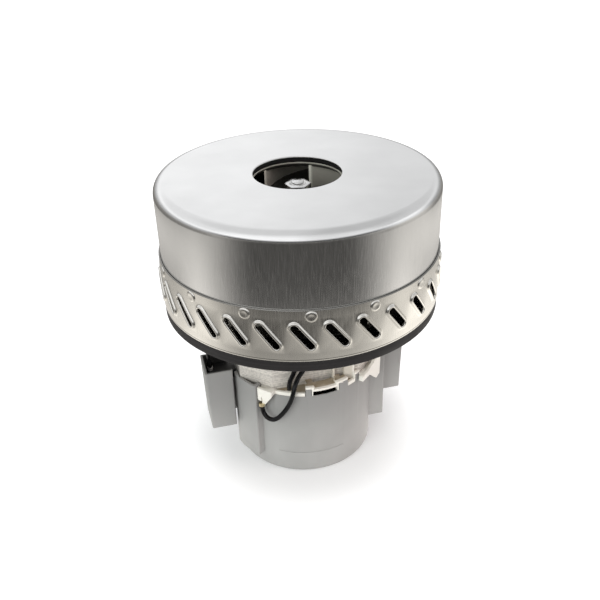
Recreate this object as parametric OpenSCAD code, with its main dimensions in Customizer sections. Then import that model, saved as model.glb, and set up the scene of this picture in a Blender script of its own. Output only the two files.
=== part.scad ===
// A vacuum motor unit: a two-stage fan over a brush motor, standing on the foot of its motor cup.
// Millimetres. The axis of rotation is Z, +X points to the right-hand terminal box, -Y is the front.

/* [Fan housing] */
// Outside diameter of the vent pan
pan_d = 144; // [140:0.5:148]
// Height of the vent pan
pan_h = 27; // [26:0.5:30]
// Height of the fan cover above the vent pan's edge
cover_rise = 36.5; // [36:0.5:40]
// Rounding of the fan cover's top edge
cover_round = 5; // [3:0.5:7]
// Diameter of the air inlet
inlet_d = 44; // [40:0.5:46]
// Thickness of the pressed sheet
sheet = 0.8; // [0.6:0.1:1]
// Height of the rubber gasket under the vent pan
gasket_h = 5.5; // [4.5:0.5:7]

/* [Vents] */
// Number of exhaust vents
vent_count = 29; // [25:1:30]
// Length of a vent from tip to tip
vent_length = 15.4; // [13:0.2:15.8]
// Width of a vent
vent_width = 3.2; // [2.4:0.2:3.4]
// Slant of a vent from upright, in degrees
vent_slant = 37.5; // [32:0.5:42]
// Width of the raised lip round a vent
lip_width = 1.1; // [0.8:0.1:1.3]
// Height of the raised lip round a vent
lip_h = 1; // [0.6:0.1:1.2]
// Number of clinched buttons that join the pan to the cover
clinch_count = 15; // [12:1:18]
// Diameter of a clinched button
clinch_d = 4.4; // [3.6:0.2:5]

/* [Impellers] */
// Gap between an impeller's edge and the inside of the fan cover
impeller_gap = 4.2; // [3:0.2:7]
// Height of an impeller from its disc to the rim of its eye
impeller_h = 14.2; // [13.4:0.2:15]
// Height of an impeller at its outer edge
tip_h = 7; // [5:0.5:8]
// Number of blades on an impeller
blade_count = 6; // [5:1:8]
// Angle of a blade's inner end from the radius, in degrees
blade_angle = 50; // [46:1:54]
// Angle that a blade sweeps round the axis, in degrees
blade_sweep = 75; // [68:1:80]

/* [Rotor] */
// Diameter of the shaft
shaft_d = 8; // [7:0.5:9]
// Outside diameter of both bearings
bearing_d = 22; // [21:0.5:24]
// Width of both bearings
bearing_w = 7; // [6:0.5:8]
// Diameter of the commutator
commutator_d = 24; // [22:0.5:26]
// Diameter of the cooling fan
cooling_d = 64; // [58:1:66]

/* [Motor] */
// Outside diameter of the motor cup
cup_d = 75.8; // [75:0.2:77]
// Height of the motor cup's rim
cup_h = 52.4; // [52:0.2:55]
// Wall of the motor cup
cup_wall = 2; // [1.6:0.1:2.2]
// Height of the stator stack
core_h = 32; // [30:0.5:36]
// Width of the stator stack from left to right
core_w = 77; // [76:0.5:78]
// Depth of the stator stack from front to back
core_depth = 57; // [56:0.5:58]
// Diameter of the armature
armature_d = 37; // [36:0.2:37.6]
// Height of the fan-end bracket over the stator stack
bracket_h = 12.5; // [12:0.5:15]

/* [Brushes] */
// Width of a carbon brush
brush_w = 6.4; // [6:0.2:6.8]
// Height of a carbon brush
brush_h = 10; // [9:0.5:10.5]
// Length of a carbon brush
brush_l = 18; // [16:0.5:19]
// Bearing of the left brush, in degrees from the front
brush_bearing = -63; // [-65:0.5:-61]

/* [Terminal boxes] */
// Outer width of a terminal box at its floor
box_w = 13.6; // [13:0.1:15]
// Outer length of a terminal box
box_l = 19.2; // [18.6:0.2:21]
// Height of a terminal box
box_h = 36.6; // [34:0.2:38]

/* [Hidden] */
$fn = 96;
// Clearances: between fixed pieces, on the shaft, between rotor and fixed pieces, and past a cut face
fit = 0.1;
shaft_fit = 0.02;
running = 0.3;
cut = 1;

// Fan housing, from the motor up
cup_floor = 2.4;
frame_floor = 1.6;
core_bottom = cup_h + frame_floor;
core_top = core_bottom + core_h;
pan_bottom = core_top + bracket_h;
pan_top = pan_bottom + pan_h;
cover_top = pan_top + cover_rise;
pan_r = pan_d / 2;
cover_gap = 0.2;
cover_r = pan_r - sheet - cover_gap;
cover_overlap = 6.2;
cover_under = cover_top - sheet;
inlet_r = inlet_d / 2;
seal_inset = 0.6;
seal_w = 4.4;
seal_h = 2;
hem_h = 1.3;
hem_out = 0.3;
vent_z = pan_bottom + pan_h / 2;
vent_first = -13.8;
clinch_first = -10.6;
clinch_drop = 2.7;
clinch_out = 0.5;
pan_hole_r = 13;
gasket_inset = 0.2;
gasket_out_r = pan_r - gasket_inset;
gasket_rib_w = 11.8;
gasket_flange_w = 8;
gasket_flange_h = 2.5;

// Impellers and the guide between them
impeller_r = cover_r - sheet - impeller_gap;
eye_gap = 2.6;
eye_1 = cover_under - eye_gap;
eye_2_gap = 3.2;
eye_2 = pan_top - eye_2_gap;
disc_1 = eye_1 - impeller_h;
disc_2 = eye_2 - impeller_h;
eye_r = inlet_r;
neck_w = 3;
neck_h = 3;
blade_t = 0.8;
blade_in_gap = 2;
blade_in_r = inlet_r + blade_in_gap;
blade_out_gap = 1.5;
blade_out_r = impeller_r - blade_out_gap;
blade_gap = 0.05;
guide_r = impeller_r;
guide_top = disc_1 - sheet - eye_gap;
guide_hole_r = 9;
guide_skirt_r = cover_r - sheet - fit;
guide_skirt_h = 3.6;
vane_count = 12;
vane_in_r = 30;
vane_angle = 40;
vane_sweep = 50;

// Rotor, from the bottom bearing up
shaft_r = shaft_d / 2;
shaft_lift = 1.8;
shaft_bottom = cup_floor + shaft_lift;
stud_r = 3.1;
bearing_r = bearing_d / 2;
seat_h = 2.4;
lower_bearing = cup_floor + seat_h;
upper_bearing = pan_bottom - running - bearing_w;
race_t = 1.7;
ball_count = 7;
ball_gap = 0.05;
ball_r = (bearing_r - shaft_r - 2 * race_t) / 2 - ball_gap;
ball_path_r = (bearing_r + shaft_r) / 2;
sleeve_t = 2.5;
spacer_t = 3;
spacer_r = shaft_r + spacer_t;
upper_spacer_t = 2.2;
hub_h = 7;
stud_bottom = disc_1 + hub_h;
nut_across = 11.6;
nut_h = 3.6;
nut_turn = -14;
nut_chamfer = 1;
washer_r = nut_across / 2;
washer_t = 1.2;
stud_over = 1;
shaft_top = stud_bottom + washer_t + nut_h + stud_over;
winding_low_h = 9;
commutator_r = commutator_d / 2;
commutator_bottom = core_bottom / 2;
commutator_gap = 2;
commutator_h = core_bottom - winding_low_h - commutator_gap - commutator_bottom;
riser_h = 2;
riser_out = 1.5;
bar_count = 24;
bar_slit = 0.6;
bar_slit_depth = 1.2;
cooling_r = cooling_d / 2;
cooling_h = 9;
cooling_hub_over = 3;
cooling_hub_t = 4;
cooling_bottom = commutator_bottom - cooling_hub_over - cooling_h;
cooling_disc_t = 1.2;
cooling_blades = 12;
cooling_eye_r = 14;
armature_r = armature_d / 2;
slot_count = 12;
slot_w = 2.6;
slot_depth = 7;
winding_inset = 1;
winding_r = armature_r - winding_inset;
bar_inset = 1.1;
winding_high_h = 3;
winding_round = 1.4;

// Stator and its coil frames
core_u = core_w / 2;
core_v = core_depth / 2;
chamfer_u = 14.5;
chamfer_v = 13;
air_gap = 0.7;
bore_r = armature_r + air_gap;
pole_v = 13.1;
window_v = 20.7;
window_u = 26;
coil_clear = 1.1;
coil_in_u = bore_r + coil_clear;
window_clear = 0.4;
coil_out_u = window_u - window_clear;
coil_gap = 0.3;
coil_end = 6;
coil_round = 3;
frame_open_u = window_u + window_clear;
frame_open_v = window_v + window_clear;
bolt_u = core_u - 4;
bolt_v = 10.5;
bolt_spots = [[bolt_u, -bolt_v], [-bolt_u, bolt_v]];
post_spots = [[bolt_u, -bolt_v], [bolt_u, bolt_v], [-bolt_u, -bolt_v], [-bolt_u, bolt_v]];
bolt_r = 2;
bolt_head_r = 3.5;
bolt_head_h = 2.6;
bolt_depth = 14;
post_r = 3.6;
plate_clear = 2;
plate_r = gasket_out_r - gasket_rib_w - gasket_flange_w - plate_clear;
plate_h = 4;
boss_wall = 3;
pan_screw_r = 1.6;
pan_screw_head_r = 3.2;
pan_screw_head_h = 1.8;
pan_screw_ring_r = 28;
pan_screw_count = 4;
pan_screw_first = 45;

// Motor cup
cup_r = cup_d / 2;
cup_in_r = cup_r - cup_wall;
foot_round = 3;
boss_t = 2.2;
bolt_boss_r = 4;
bolt_boss_under = 2;
bulge_out = 4.7;
bulge_r = cup_r + bulge_out;
bulge_t = 1.4;
bulge_half = 12.6;
bulge_bottom = 10;
bulge_over = 4.6;
bulge_top = cup_h + bulge_over;
box_gap = 4.4;
box_u = cup_r + box_gap;
box_right_v = -8.3;
box_left_v = -3.7;
box_drop = 27.4;
box_bottom = cup_h - box_drop;
box_top = box_bottom + box_h;
box_draft = 1.1;
box_t = 1.4;
box_floor = 2;
sill_drop = 2;
box_sill = cup_h - sill_drop;
pillar_root = 4;
pillar_in = cup_in_r - pillar_root;
pillar_u = box_u + cut;
pillar_v = -16;
pillar_l = 20;
pillar_bottom = 14;
pillar_over = 10.6;
pillar_top = cup_h + pillar_over;
core_clear = 0.4;
recess_depth = 1;
recess_land = 0.5;
recess_from = brush_bearing + bulge_half + recess_land;
recess_to = -38.2;
recess_bottom = 20.7;
sink_depth = 2;
sink_wall = 0.6;
air_slots = 8;
air_slot_w = 5;
air_slot_from = 19;
air_slot_to = 31;
seam_z = 13.8;
seam_w = 0.4;
seam_depth = 0.3;
seam_from = -36;
seam_to = 20;

// Coil frames. The tabs of the cup stand up between pairs of bearings, and the lower frame bridges them
frame_over = 0.2;
tab_h = 4.2;
tab_spans = [[-12.4, -8], [16, 24.5], [34, 38]];
bridge_spans = [[-12.4, -5.6], [13.6, 24.5], [32.8, 39.2]];
tab_clear = 0.5;
bridge_t = 1.3;
rim_h = 0.4;
rim_t = 1.5;
rim_r = cup_r - fit;
ledge_from = -7.5;
ledge_to = 15.5;
ledge_rise = 2.7;
ledge_t = 1.3;
ledge_w = 6.8;
ledge_in_r = rim_r - ledge_w;
wall_t = 3.4;
wall_h = 3.2;
wall_u = [-6.4, 9];
upright_spans = [[8.6, 9.7], [14.9, 20.5]];
upright_w = 1.8;
chamfer_bearing = atan2(chamfer_v, chamfer_u);
chamfer_off = (core_u * chamfer_v + (core_v - chamfer_v) * chamfer_u) / norm([chamfer_u, chamfer_v]);
tongue_t = 1.6;
tongue_cup_gap = 1.74;
tongue_core_gap = 2.4;
tongue_out_r = max(cup_r + tongue_cup_gap, chamfer_off + tongue_core_gap) + tongue_t;
tongue_plate_t = 1.4;
tongue_root_w = 1.8;
tongue_root_r = rim_r - tongue_root_w;
prong_drop = 7.4;
tongue_left = [
    [-5.7, -4.6], [-5.5, -5.8], [-3.6, -6.2], [-3.6, -3.4], [-3.1, -3.4], [-3.1, -prong_drop],
    [-1.2, -prong_drop], [2.4, -2.2], [2.8, 1], [-5.7, 2]
];
tongue_left_span = [-5, 2.8];
tongue_right = [[-4, 0], [3.4, -1.2], [11.2, -8.5], [14.8, -7.3], [15.6, 8], [12, 6], [2, 1.6], [-4, 1.6]];
tongue_right_span = [-4, 9];
lead_block = [4, 3, 0.4];
lead_block_at = [-17.5, -core_v - 4.2];

// Brush gear
brush_z = commutator_bottom + (commutator_h - riser_h) / 2;
brush_gap = 0.05;
brush_out = commutator_r + brush_gap + brush_l;
tube_t = 0.6;
tube_gap = 2;
tube_in = commutator_r + tube_gap;
tube_clear = 1.2;
tube_out = bulge_r - bulge_t - tube_clear;
tube_cap = 0.8;
holder_wall = 1.7;
holder_gap = 6;
holder_in = tube_in + holder_gap;
holder_short = 0.6;
holder_out = tube_out - holder_short;
tube_w = brush_w + 2 * (fit + tube_t);
tube_h = brush_h + 2 * (fit + tube_t);
holder_w = tube_w + 2 * (fit + holder_wall);
holder_h = tube_h + 2 * (fit + holder_wall);
holder_bottom = brush_z - holder_h / 2;
spring_wire = 0.7;
spring_r = 2.2;
spring_turns = 6;
spring_steps = 10;
spring_sides = 6;

// Terminals
block_top = 29;
base_t = 3;
arm_gap = 0.8;
blade_w = 6.3;
blade_h = 14;
blade_thick = 0.8;
blade_in = 0.25;
block_gap = 0.402;
block_l = box_l - 2 * box_t - fit - blade_in - blade_w - block_gap;
crimp_r = 1.5;
crimp_wall = 3;
crimp_h = 2;
crimp_at = [-box_u - box_w + crimp_wall, -3.5];
crimp_bottom = box_bottom + box_floor + block_top;

// Leads. Points of the field lead outside the cup: bearing, distance from the cup, height from the stack
lead_d = 2.5;
lead_sides = 8;
lead_steps = 3;
ferrule_r = 1.75;
ferrule_h = 1.6;
ferrule_top = core_bottom - prong_drop;
field_route_outside = [
    [-46.78, 3.13, -ferrule_h - prong_drop],
    [-46.78, 3.13, -9.7],
    [-46.78, 3.13, -10.4],
    [-45.7, 3.4, -13],
    [-42.9, 3.9, -15.1],
    [-39.1, 4.3, -15.8],
    [-35.2, 4.45, -14.9],
    [-31.4, 4.3, -12.2],
    [-27.6, 4, -8.2],
    [-24, 3.5, -3.3],
    [-21.6, 2.8, 2.2]
];
ferrule_at = spot(cup_r + field_route_outside[0][1], field_route_outside[0][0]);
// Points of the leads along the stack: place from left to right, distance from it, height from its foot
field_route_stack = [
    [-13.4, 7.5, 6.2],
    [-10.6, 4.7, 9.2],
    [-7, 2.7, 12],
    [-4.6, 1.9, 16],
    [-4, 1.9, 22],
    [-4, 1.9, core_h - 5],
    [-4, 1.9, core_h - 2]
];
coil_route = [
    [-15.5, 2.7, lead_block[2]],
    [-15.3, 2.7, 4.8],
    [-13.6, 2.3, 8],
    [-12, 1.9, 11.6],
    [-11, 1.9, 16],
    [-10.6, 1.9, 22],
    [-10.6, 1.9, core_h - 5],
    [-10.6, 1.9, core_h - 2]
];
lug_h = 2;
lug_out = 2.9;
lug_front_u = [-12.8, -2];
lug_front_out = 3.9;
lug_side_l = 4;
lug_drop = 5.4;
lug_side_z = core_top - lug_drop;
// Points of the supply lead, as shares of the way from its crimp to the lug on the upper frame
supply_from = [crimp_at[0], crimp_at[1], crimp_bottom + crimp_h];
supply_to = [-core_u - lug_out, -lug_side_l / 2, lug_side_z + lug_h];
supply_route = [
    [0, 0, 0],
    [0, 0, 0.122],
    [-0.017, 0.07, 0.325],
    [0, 0.2, 0.528],
    [0.155, 0.47, 0.732],
    [0.414, 0.73, 0.894],
    [0.655, 1, 0.976],
    [0.828, 1, 1],
    [1, 1, 1]
];

// Colours
steel_tint = [0.78, 0.79, 0.8];
bright_tint = [0.86, 0.86, 0.87];
core_tint = [0.74, 0.71, 0.68];
cup_tint = [0.62, 0.62, 0.62];
white_tint = [0.93, 0.91, 0.86];
rubber_tint = [0.14, 0.13, 0.14];
copper_tint = [0.72, 0.42, 0.22];
brass_tint = [0.8, 0.66, 0.36];
carbon_tint = [0.2, 0.2, 0.21];

// Helpers
module lift(z) {
    translate([0, 0, z]) children();
}

// Turns a feature built at the front, on -Y, to a bearing counted from the front towards +X.
module bearing(a) {
    rotate([0, 0, a]) children();
}

module twins() {
    children();
    rotate([0, 0, 180]) children();
}

module pan_screw_spot(i) {
    bearing(pan_screw_first + i * 360 / pan_screw_count) translate([0, -pan_screw_ring_r]) children();
}

module tube(r_out, r_in, h) {
    difference() {
        cylinder(r = r_out, h = h);
        translate([0, 0, -cut]) cylinder(r = r_in, h = h + 2 * cut);
    }
}

function spot(r, a) = [r * sin(a), -r * cos(a)];

// Plan of a sector between two bearings.
module sector(r, from, to) {
    far = 2 * r;
    intersection() {
        circle(r = r);
        polygon([[0, 0], spot(far, from), spot(far, (from + to) / 2), spot(far, to)]);
    }
}

module sector_ring(r_out, r_in, from, to) {
    difference() {
        sector(r_out, from, to);
        circle(r = r_in);
    }
}

// Outline of a slot with round ends, upright and centred.
module slot_outline(l, w) {
    square([w, l - w], center = true);
    for (s = [-1, 1]) {
        translate([0, s * (l - w) / 2]) circle(d = w);
    }
}

// Half-section of a can with a rounded top edge.
module can_section(r, h, round) {
    square([r - round, h]);
    square([r, h - round]);
    translate([r - round, h - round]) circle(r = round);
}

module rounded_rectangle(w, h, r) {
    square([w - 2 * r, h], center = true);
    square([w, h - 2 * r], center = true);
    for (x = [-1, 1], y = [-1, 1]) {
        translate([x * (w / 2 - r), y * (h / 2 - r)]) circle(r = r);
    }
}

// A thin arc from radius r_in, at an angle from the radius, to radius r_out, a sweep further on, clockwise.
module arc_blade(r_in, r_out, angle, sweep, t) {
    start = [r_in, 0];
    chord = r_out * [cos(sweep), -sin(sweep)] - start;
    side = [-sin(angle), -cos(angle)];
    arc_r = (chord * chord) / (2 * (side * chord));
    centre = start + arc_r * side;
    far = 2 * r_out;
    intersection() {
        translate(centre) difference() {
            circle(r = arc_r + t / 2);
            circle(r = arc_r - t / 2);
        }
        difference() {
            circle(r = r_out);
            circle(r = r_in);
        }
        rotate([0, 0, atan2(centre[1], centre[0])]) translate([-far, 0]) square([2 * far, far]);
    }
}

// Cord helpers: a curve through the points, a frame carried along it, and a tube of rings round it.
function unit(v) = v / norm(v);
function curve_point(a, b, c, d, t) =
    0.5 * (2 * b + (c - a) * t + (2 * a - 5 * b + 4 * c - d) * t * t + (3 * b - a - 3 * c + d) * t * t * t);
function end_or(p, i) = p[max(0, min(len(p) - 1, i))];
function curve(p, steps) = concat(
    [for (i = [0 : len(p) - 2], k = [0 : steps - 1])
        curve_point(end_or(p, i - 1), p[i], p[i + 1], end_or(p, i + 2), k / steps)],
    [p[len(p) - 1]]
);
function tangent(c, i) = unit(end_or(c, min(i, len(c) - 1) + 1) - end_or(c, min(i, len(c) - 1) - 1));
function across(v, t) = unit(v - (v * t) * t);
function carried(c, first) = [
    for (i = 0, v = across(first, tangent(c, 0)); i < len(c); i = i + 1, v = across(v, tangent(c, i))) v
];

module round_lead(c, d, sides, first) {
    side = carried(c, first);
    step = 360 / sides;
    points = [for (i = [0 : len(c) - 1], k = [0 : sides - 1])
        c[i] + d / 2 * (side[i] * cos(k * step) + cross(tangent(c, i), side[i]) * sin(k * step))];
    last = (len(c) - 1) * sides;
    walls = [for (i = [0 : len(c) - 2], k = [0 : sides - 1])
        [i * sides + k, (i + 1) * sides + k, (i + 1) * sides + (k + 1) % sides, i * sides + (k + 1) % sides]];
    ends = [[for (k = [0 : sides - 1]) k], [for (k = [sides - 1 : -1 : 0]) last + k]];
    polyhedron(points, concat(walls, ends), convexity = 6);
}

// Fan housing
module fan_cover() {
    height = cover_rise + cover_overlap;
    color(bright_tint) lift(cover_top - height) rotate_extrude() difference() {
        can_section(cover_r, height, cover_round);
        translate([0, -cut]) can_section(cover_r - sheet, height - sheet + cut, cover_round - sheet);
        square([inlet_r, height + cut]);
    }
}

module inlet_seal() {
    color(rubber_tint) lift(cover_under - seal_h)
        tube(inlet_r + seal_inset + seal_w, inlet_r + seal_inset, seal_h);
}

// A slot outline stood upright at the front, slanted, pressed from one radius to another.
module vent(l, w, from, to) {
    translate([0, -from, vent_z]) rotate([90, 0, 0]) rotate([0, 0, vent_slant])
        linear_extrude(to - from) slot_outline(l, w);
}

module vent_pan() {
    lip_l = vent_length + 2 * lip_width;
    lip_w = vent_width + 2 * lip_width;
    color(steel_tint) difference() {
        union() {
            lift(pan_bottom) rotate_extrude() {
                translate([pan_hole_r, 0]) square([pan_r - pan_hole_r, sheet]);
                translate([pan_r - sheet, 0]) square([sheet, pan_h]);
                translate([pan_r - sheet, 0]) square([sheet + hem_out, hem_h]);
            }
            for (i = [0 : vent_count - 1]) bearing(vent_first + i * 360 / vent_count)
                vent(lip_l, lip_w, pan_r - sheet / 2, pan_r + lip_h);
            for (i = [0 : clinch_count - 1]) bearing(clinch_first + i * 360 / clinch_count)
                translate([0, -pan_r + sheet / 2, pan_top - clinch_drop]) rotate([90, 0, 0])
                    cylinder(d = clinch_d, h = sheet / 2 + clinch_out);
        }
        for (i = [0 : vent_count - 1]) bearing(vent_first + i * 360 / vent_count)
            vent(vent_length, vent_width, pan_r - 2 * sheet - cut, pan_r + lip_h + cut);
        for (i = [0 : pan_screw_count - 1]) pan_screw_spot(i) lift(pan_bottom - cut)
            cylinder(r = pan_screw_r + fit, h = sheet + 2 * cut);
    }
}

module flange_gasket() {
    color(rubber_tint) lift(pan_bottom) rotate_extrude() {
        translate([gasket_out_r - gasket_rib_w, -gasket_h]) square([gasket_rib_w, gasket_h]);
        translate([gasket_out_r - gasket_rib_w - gasket_flange_w, -gasket_flange_h])
            square([gasket_rib_w + gasket_flange_w, gasket_flange_h]);
    }
}

// Impellers: all heights count from the top of the disc
module shroud_section() {
    slope = (impeller_h - neck_h - tip_h) / (impeller_r - eye_r - neck_w);
    polygon([
        [impeller_r, tip_h],
        [eye_r + neck_w, impeller_h - neck_h],
        [eye_r, impeller_h - neck_h + neck_w],
        [eye_r + sheet, impeller_h - neck_h + neck_w],
        [eye_r + neck_w + sheet / 2, impeller_h - neck_h + sheet],
        [impeller_r, tip_h + sheet * (1 + slope * slope)]
    ]);
}

module under_shroud() {
    rotate_extrude() polygon([
        [0, 0],
        [impeller_r, 0],
        [impeller_r, tip_h - blade_gap],
        [eye_r + neck_w, impeller_h - neck_h - blade_gap],
        [eye_r, impeller_h - blade_gap],
        [0, impeller_h - blade_gap]
    ]);
}

module impeller_shroud(z) {
    color(bright_tint) lift(z) rotate_extrude() shroud_section();
}

module impeller_disc(z) {
    color(bright_tint) lift(z - sheet) tube(impeller_r, shaft_r + shaft_fit, sheet);
}

module impeller_blades(z) {
    pitch = 360 / blade_count;
    color(bright_tint) lift(z) for (i = [0 : blade_count - 1]) rotate([0, 0, i * pitch]) intersection() {
        linear_extrude(impeller_h) arc_blade(blade_in_r, blade_out_r, blade_angle, blade_sweep, blade_t);
        under_shroud();
    }
}

module impeller_1_shroud() {
    impeller_shroud(disc_1);
}

module impeller_1_blades() {
    impeller_blades(disc_1);
}

module impeller_1_disc() {
    impeller_disc(disc_1);
}

module impeller_2_shroud() {
    impeller_shroud(disc_2);
}

module impeller_2_blades() {
    impeller_blades(disc_2);
}

module impeller_2_disc() {
    impeller_disc(disc_2);
}

// Stage guide: takes the air from the first impeller's edge back to the second impeller's eye
module guide_top_plate() {
    color(steel_tint) lift(guide_top - sheet) tube(guide_r, guide_hole_r, sheet);
}

module guide_vanes() {
    color(steel_tint) lift(pan_top) for (i = [0 : vane_count - 1]) rotate([0, 0, i * 360 / vane_count])
        mirror([0, 1, 0]) linear_extrude(guide_top - sheet - pan_top)
            arc_blade(vane_in_r, guide_r - cut, vane_angle, vane_sweep, sheet);
}

module guide_base() {
    color(steel_tint) lift(pan_top - sheet) {
        tube(guide_skirt_r, eye_r + sheet, sheet);
        lift(-guide_skirt_h) tube(guide_skirt_r, guide_skirt_r - sheet, guide_skirt_h + sheet / 2);
    }
}

// Fastenings
module pan_screws() {
    color(steel_tint) for (i = [0 : pan_screw_count - 1]) pan_screw_spot(i) lift(pan_bottom) {
        lift(sheet) cylinder(r = pan_screw_head_r, h = pan_screw_head_h);
        lift(-plate_h + cut) cylinder(r = pan_screw_r, h = plate_h - cut + sheet + cut / 2);
    }
}

module through_bolts() {
    head = pan_bottom - running - bolt_head_h;
    color(steel_tint) for (p = bolt_spots) translate([p[0], p[1], 0]) {
        lift(head) cylinder(r = bolt_head_r, h = bolt_head_h);
        lift(cup_h - bolt_depth) cylinder(r = bolt_r, h = head - cup_h + bolt_depth + cut);
    }
}

// Bracket that carries the fan end's bearing and joins the stator to the vent pan
module fan_end_bracket() {
    boss_r = bearing_r + boss_wall;
    color(steel_tint) difference() {
        union() {
            lift(pan_bottom - plate_h) cylinder(r = plate_r, h = plate_h);
            lift(upper_bearing - sheet) cylinder(r = boss_r, h = pan_bottom - upper_bearing + sheet);
            for (p = post_spots) translate([p[0], p[1], core_top])
                cylinder(r = post_r, h = bracket_h - plate_h / 2);
        }
        lift(upper_bearing) cylinder(r = bearing_r + shaft_fit, h = bearing_w + running + cut);
        lift(core_top) cylinder(r = bearing_r - race_t, h = bracket_h);
        for (p = bolt_spots) translate([p[0], p[1], core_top - cut]) {
            cylinder(r = bolt_r + fit, h = bracket_h + 2 * cut);
            lift(bracket_h + cut - running - bolt_head_h)
                cylinder(r = bolt_head_r + fit, h = bolt_head_h + cut);
        }
        for (i = [0 : pan_screw_count - 1]) pan_screw_spot(i) lift(pan_bottom - plate_h - cut)
            cylinder(r = pan_screw_r + shaft_fit, h = plate_h + 2 * cut);
    }
}

// Ball bearings
module outer_ring(z) {
    color(bright_tint) lift(z) tube(bearing_r, bearing_r - race_t, bearing_w);
}

module inner_ring(z) {
    color(bright_tint) lift(z) tube(shaft_r + race_t, shaft_r + shaft_fit, bearing_w);
}

module balls(z) {
    color(bright_tint) for (i = [0 : ball_count - 1]) bearing(i * 360 / ball_count)
        translate([0, -ball_path_r, z + bearing_w / 2]) sphere(r = ball_r);
}

module upper_bearing_outer() {
    outer_ring(upper_bearing);
}

module upper_bearing_inner() {
    inner_ring(upper_bearing);
}

module upper_bearing_balls() {
    balls(upper_bearing);
}

module lower_bearing_outer() {
    outer_ring(lower_bearing);
}

module lower_bearing_inner() {
    inner_ring(lower_bearing);
}

module lower_bearing_balls() {
    balls(lower_bearing);
}

module lower_bearing_sleeve() {
    color(rubber_tint) lift(lower_bearing) tube(bearing_r + sleeve_t, bearing_r + shaft_fit, bearing_w);
}

// Shaft and what is stacked on it
module shaft() {
    color(bright_tint) {
        lift(shaft_bottom) cylinder(r = shaft_r, h = stud_bottom - shaft_bottom);
        lift(stud_bottom - cut) cylinder(r = stud_r, h = shaft_top - stud_bottom + cut);
    }
}

module spacer(from, to, r) {
    color(steel_tint) lift(from) tube(r, shaft_r + shaft_fit, to - from);
}

module fan_spacer() {
    spacer(lower_bearing + bearing_w, cooling_bottom, shaft_r + race_t);
}

module spacer_lower() {
    spacer(upper_bearing + bearing_w, disc_2 - sheet, shaft_r + race_t);
}

module spacer_middle() {
    spacer(disc_2, disc_1 - sheet, spacer_r);
}

module spacer_upper() {
    spacer(disc_1, stud_bottom, shaft_r + upper_spacer_t);
}

module shaft_washer() {
    color(bright_tint) lift(stud_bottom) tube(washer_r, stud_r + shaft_fit, washer_t);
}

module shaft_nut() {
    color(bright_tint) lift(stud_bottom + washer_t) rotate([0, 0, nut_turn]) difference() {
        cylinder(d = nut_across / cos(30), h = nut_h, $fn = 6);
        lift(-cut) cylinder(r = stud_r + shaft_fit, h = nut_h + 2 * cut);
        lift(nut_h - nut_chamfer) cylinder(r1 = stud_r, r2 = stud_r + 2 * nut_chamfer, h = 2 * nut_chamfer);
    }
}

// Armature
module armature_core() {
    color(core_tint) lift(core_bottom) difference() {
        tube(armature_r, shaft_r + shaft_fit, core_h);
        for (i = [0 : slot_count - 1]) bearing(i * 360 / slot_count)
            translate([-slot_w / 2, -armature_r - cut, -cut])
                cube([slot_w, slot_depth + cut, core_h + 2 * cut]);
    }
}

// Section of a winding end: a ring with its outer corners rounded.
module winding_end(h) {
    rotate_extrude() translate([shaft_r + fit, 0]) {
        square([winding_r - shaft_r - fit - winding_round, h]);
        square([winding_r - shaft_r - fit, h - winding_round]);
        translate([winding_r - shaft_r - fit - winding_round, h - winding_round]) circle(r = winding_round);
    }
}

module armature_winding() {
    bar_w = slot_w - 2 * fit;
    bar_depth = slot_depth - bar_inset - fit;
    color(copper_tint) {
        lift(core_top) winding_end(winding_high_h);
        lift(core_bottom) mirror([0, 0, 1]) winding_end(winding_low_h);
        for (i = [0 : slot_count - 1]) bearing(i * 360 / slot_count)
            translate([-bar_w / 2, -armature_r + bar_inset, core_bottom - cut])
                cube([bar_w, bar_depth, core_h + 2 * cut]);
    }
}

module commutator() {
    color(copper_tint) lift(commutator_bottom) difference() {
        union() {
            cylinder(r = commutator_r, h = commutator_h);
            lift(commutator_h - riser_h) cylinder(r = commutator_r + riser_out, h = riser_h);
        }
        lift(-cut) cylinder(r = shaft_r + shaft_fit, h = commutator_h + 2 * cut);
        for (i = [0 : bar_count - 1]) bearing(i * 360 / bar_count)
            translate([-bar_slit / 2, -commutator_r - cut, -cut])
                cube([bar_slit, bar_slit_depth + cut, commutator_h - riser_h + cut]);
    }
}

module cooling_fan() {
    blade_l = cooling_r - cut - cooling_eye_r;
    color(rubber_tint) lift(cooling_bottom) {
        tube(cooling_r, shaft_r + shaft_fit, cooling_disc_t);
        tube(shaft_r + cooling_hub_t, shaft_r + shaft_fit, cooling_h + cooling_hub_over);
        for (i = [0 : cooling_blades - 1]) bearing(i * 360 / cooling_blades)
            translate([-cooling_disc_t / 2, -cooling_eye_r - blade_l, cooling_disc_t / 2])
                cube([cooling_disc_t, blade_l, cooling_h - cooling_disc_t / 2]);
    }
}

// Stator
module core_outline(grow) {
    u = core_u + grow;
    v = core_v + grow;
    cu = chamfer_u;
    cv = chamfer_v;
    polygon([
        [u, v - cv], [u - cu, v], [cu - u, v], [-u, v - cv],
        [-u, cv - v], [cu - u, -v], [u - cu, -v], [u, cv - v]
    ]);
}

module stator_stack() {
    color(core_tint) lift(core_bottom) linear_extrude(core_h) difference() {
        core_outline(0);
        circle(r = bore_r);
        for (x = [-1, 1], y = [-1, 1]) scale([x, y])
            translate([bore_r / 2, pole_v]) square([window_u - bore_r / 2, window_v - pole_v]);
        for (p = bolt_spots) translate(p) circle(r = bolt_r + fit);
    }
}

module field_coils() {
    outer_v = 2 * (window_v - coil_gap);
    inner_v = 2 * (pole_v + coil_gap);
    outer_h = core_h + 2 * coil_end;
    inner_h = core_h + 2 * coil_gap;
    color(copper_tint) twins() translate([coil_in_u, 0, core_bottom + core_h / 2]) rotate([90, 0, 90])
        linear_extrude(coil_out_u - coil_in_u) difference() {
            rounded_rectangle(outer_v, outer_h, coil_round);
            square([inner_v, inner_h], center = true);
        }
}

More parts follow.
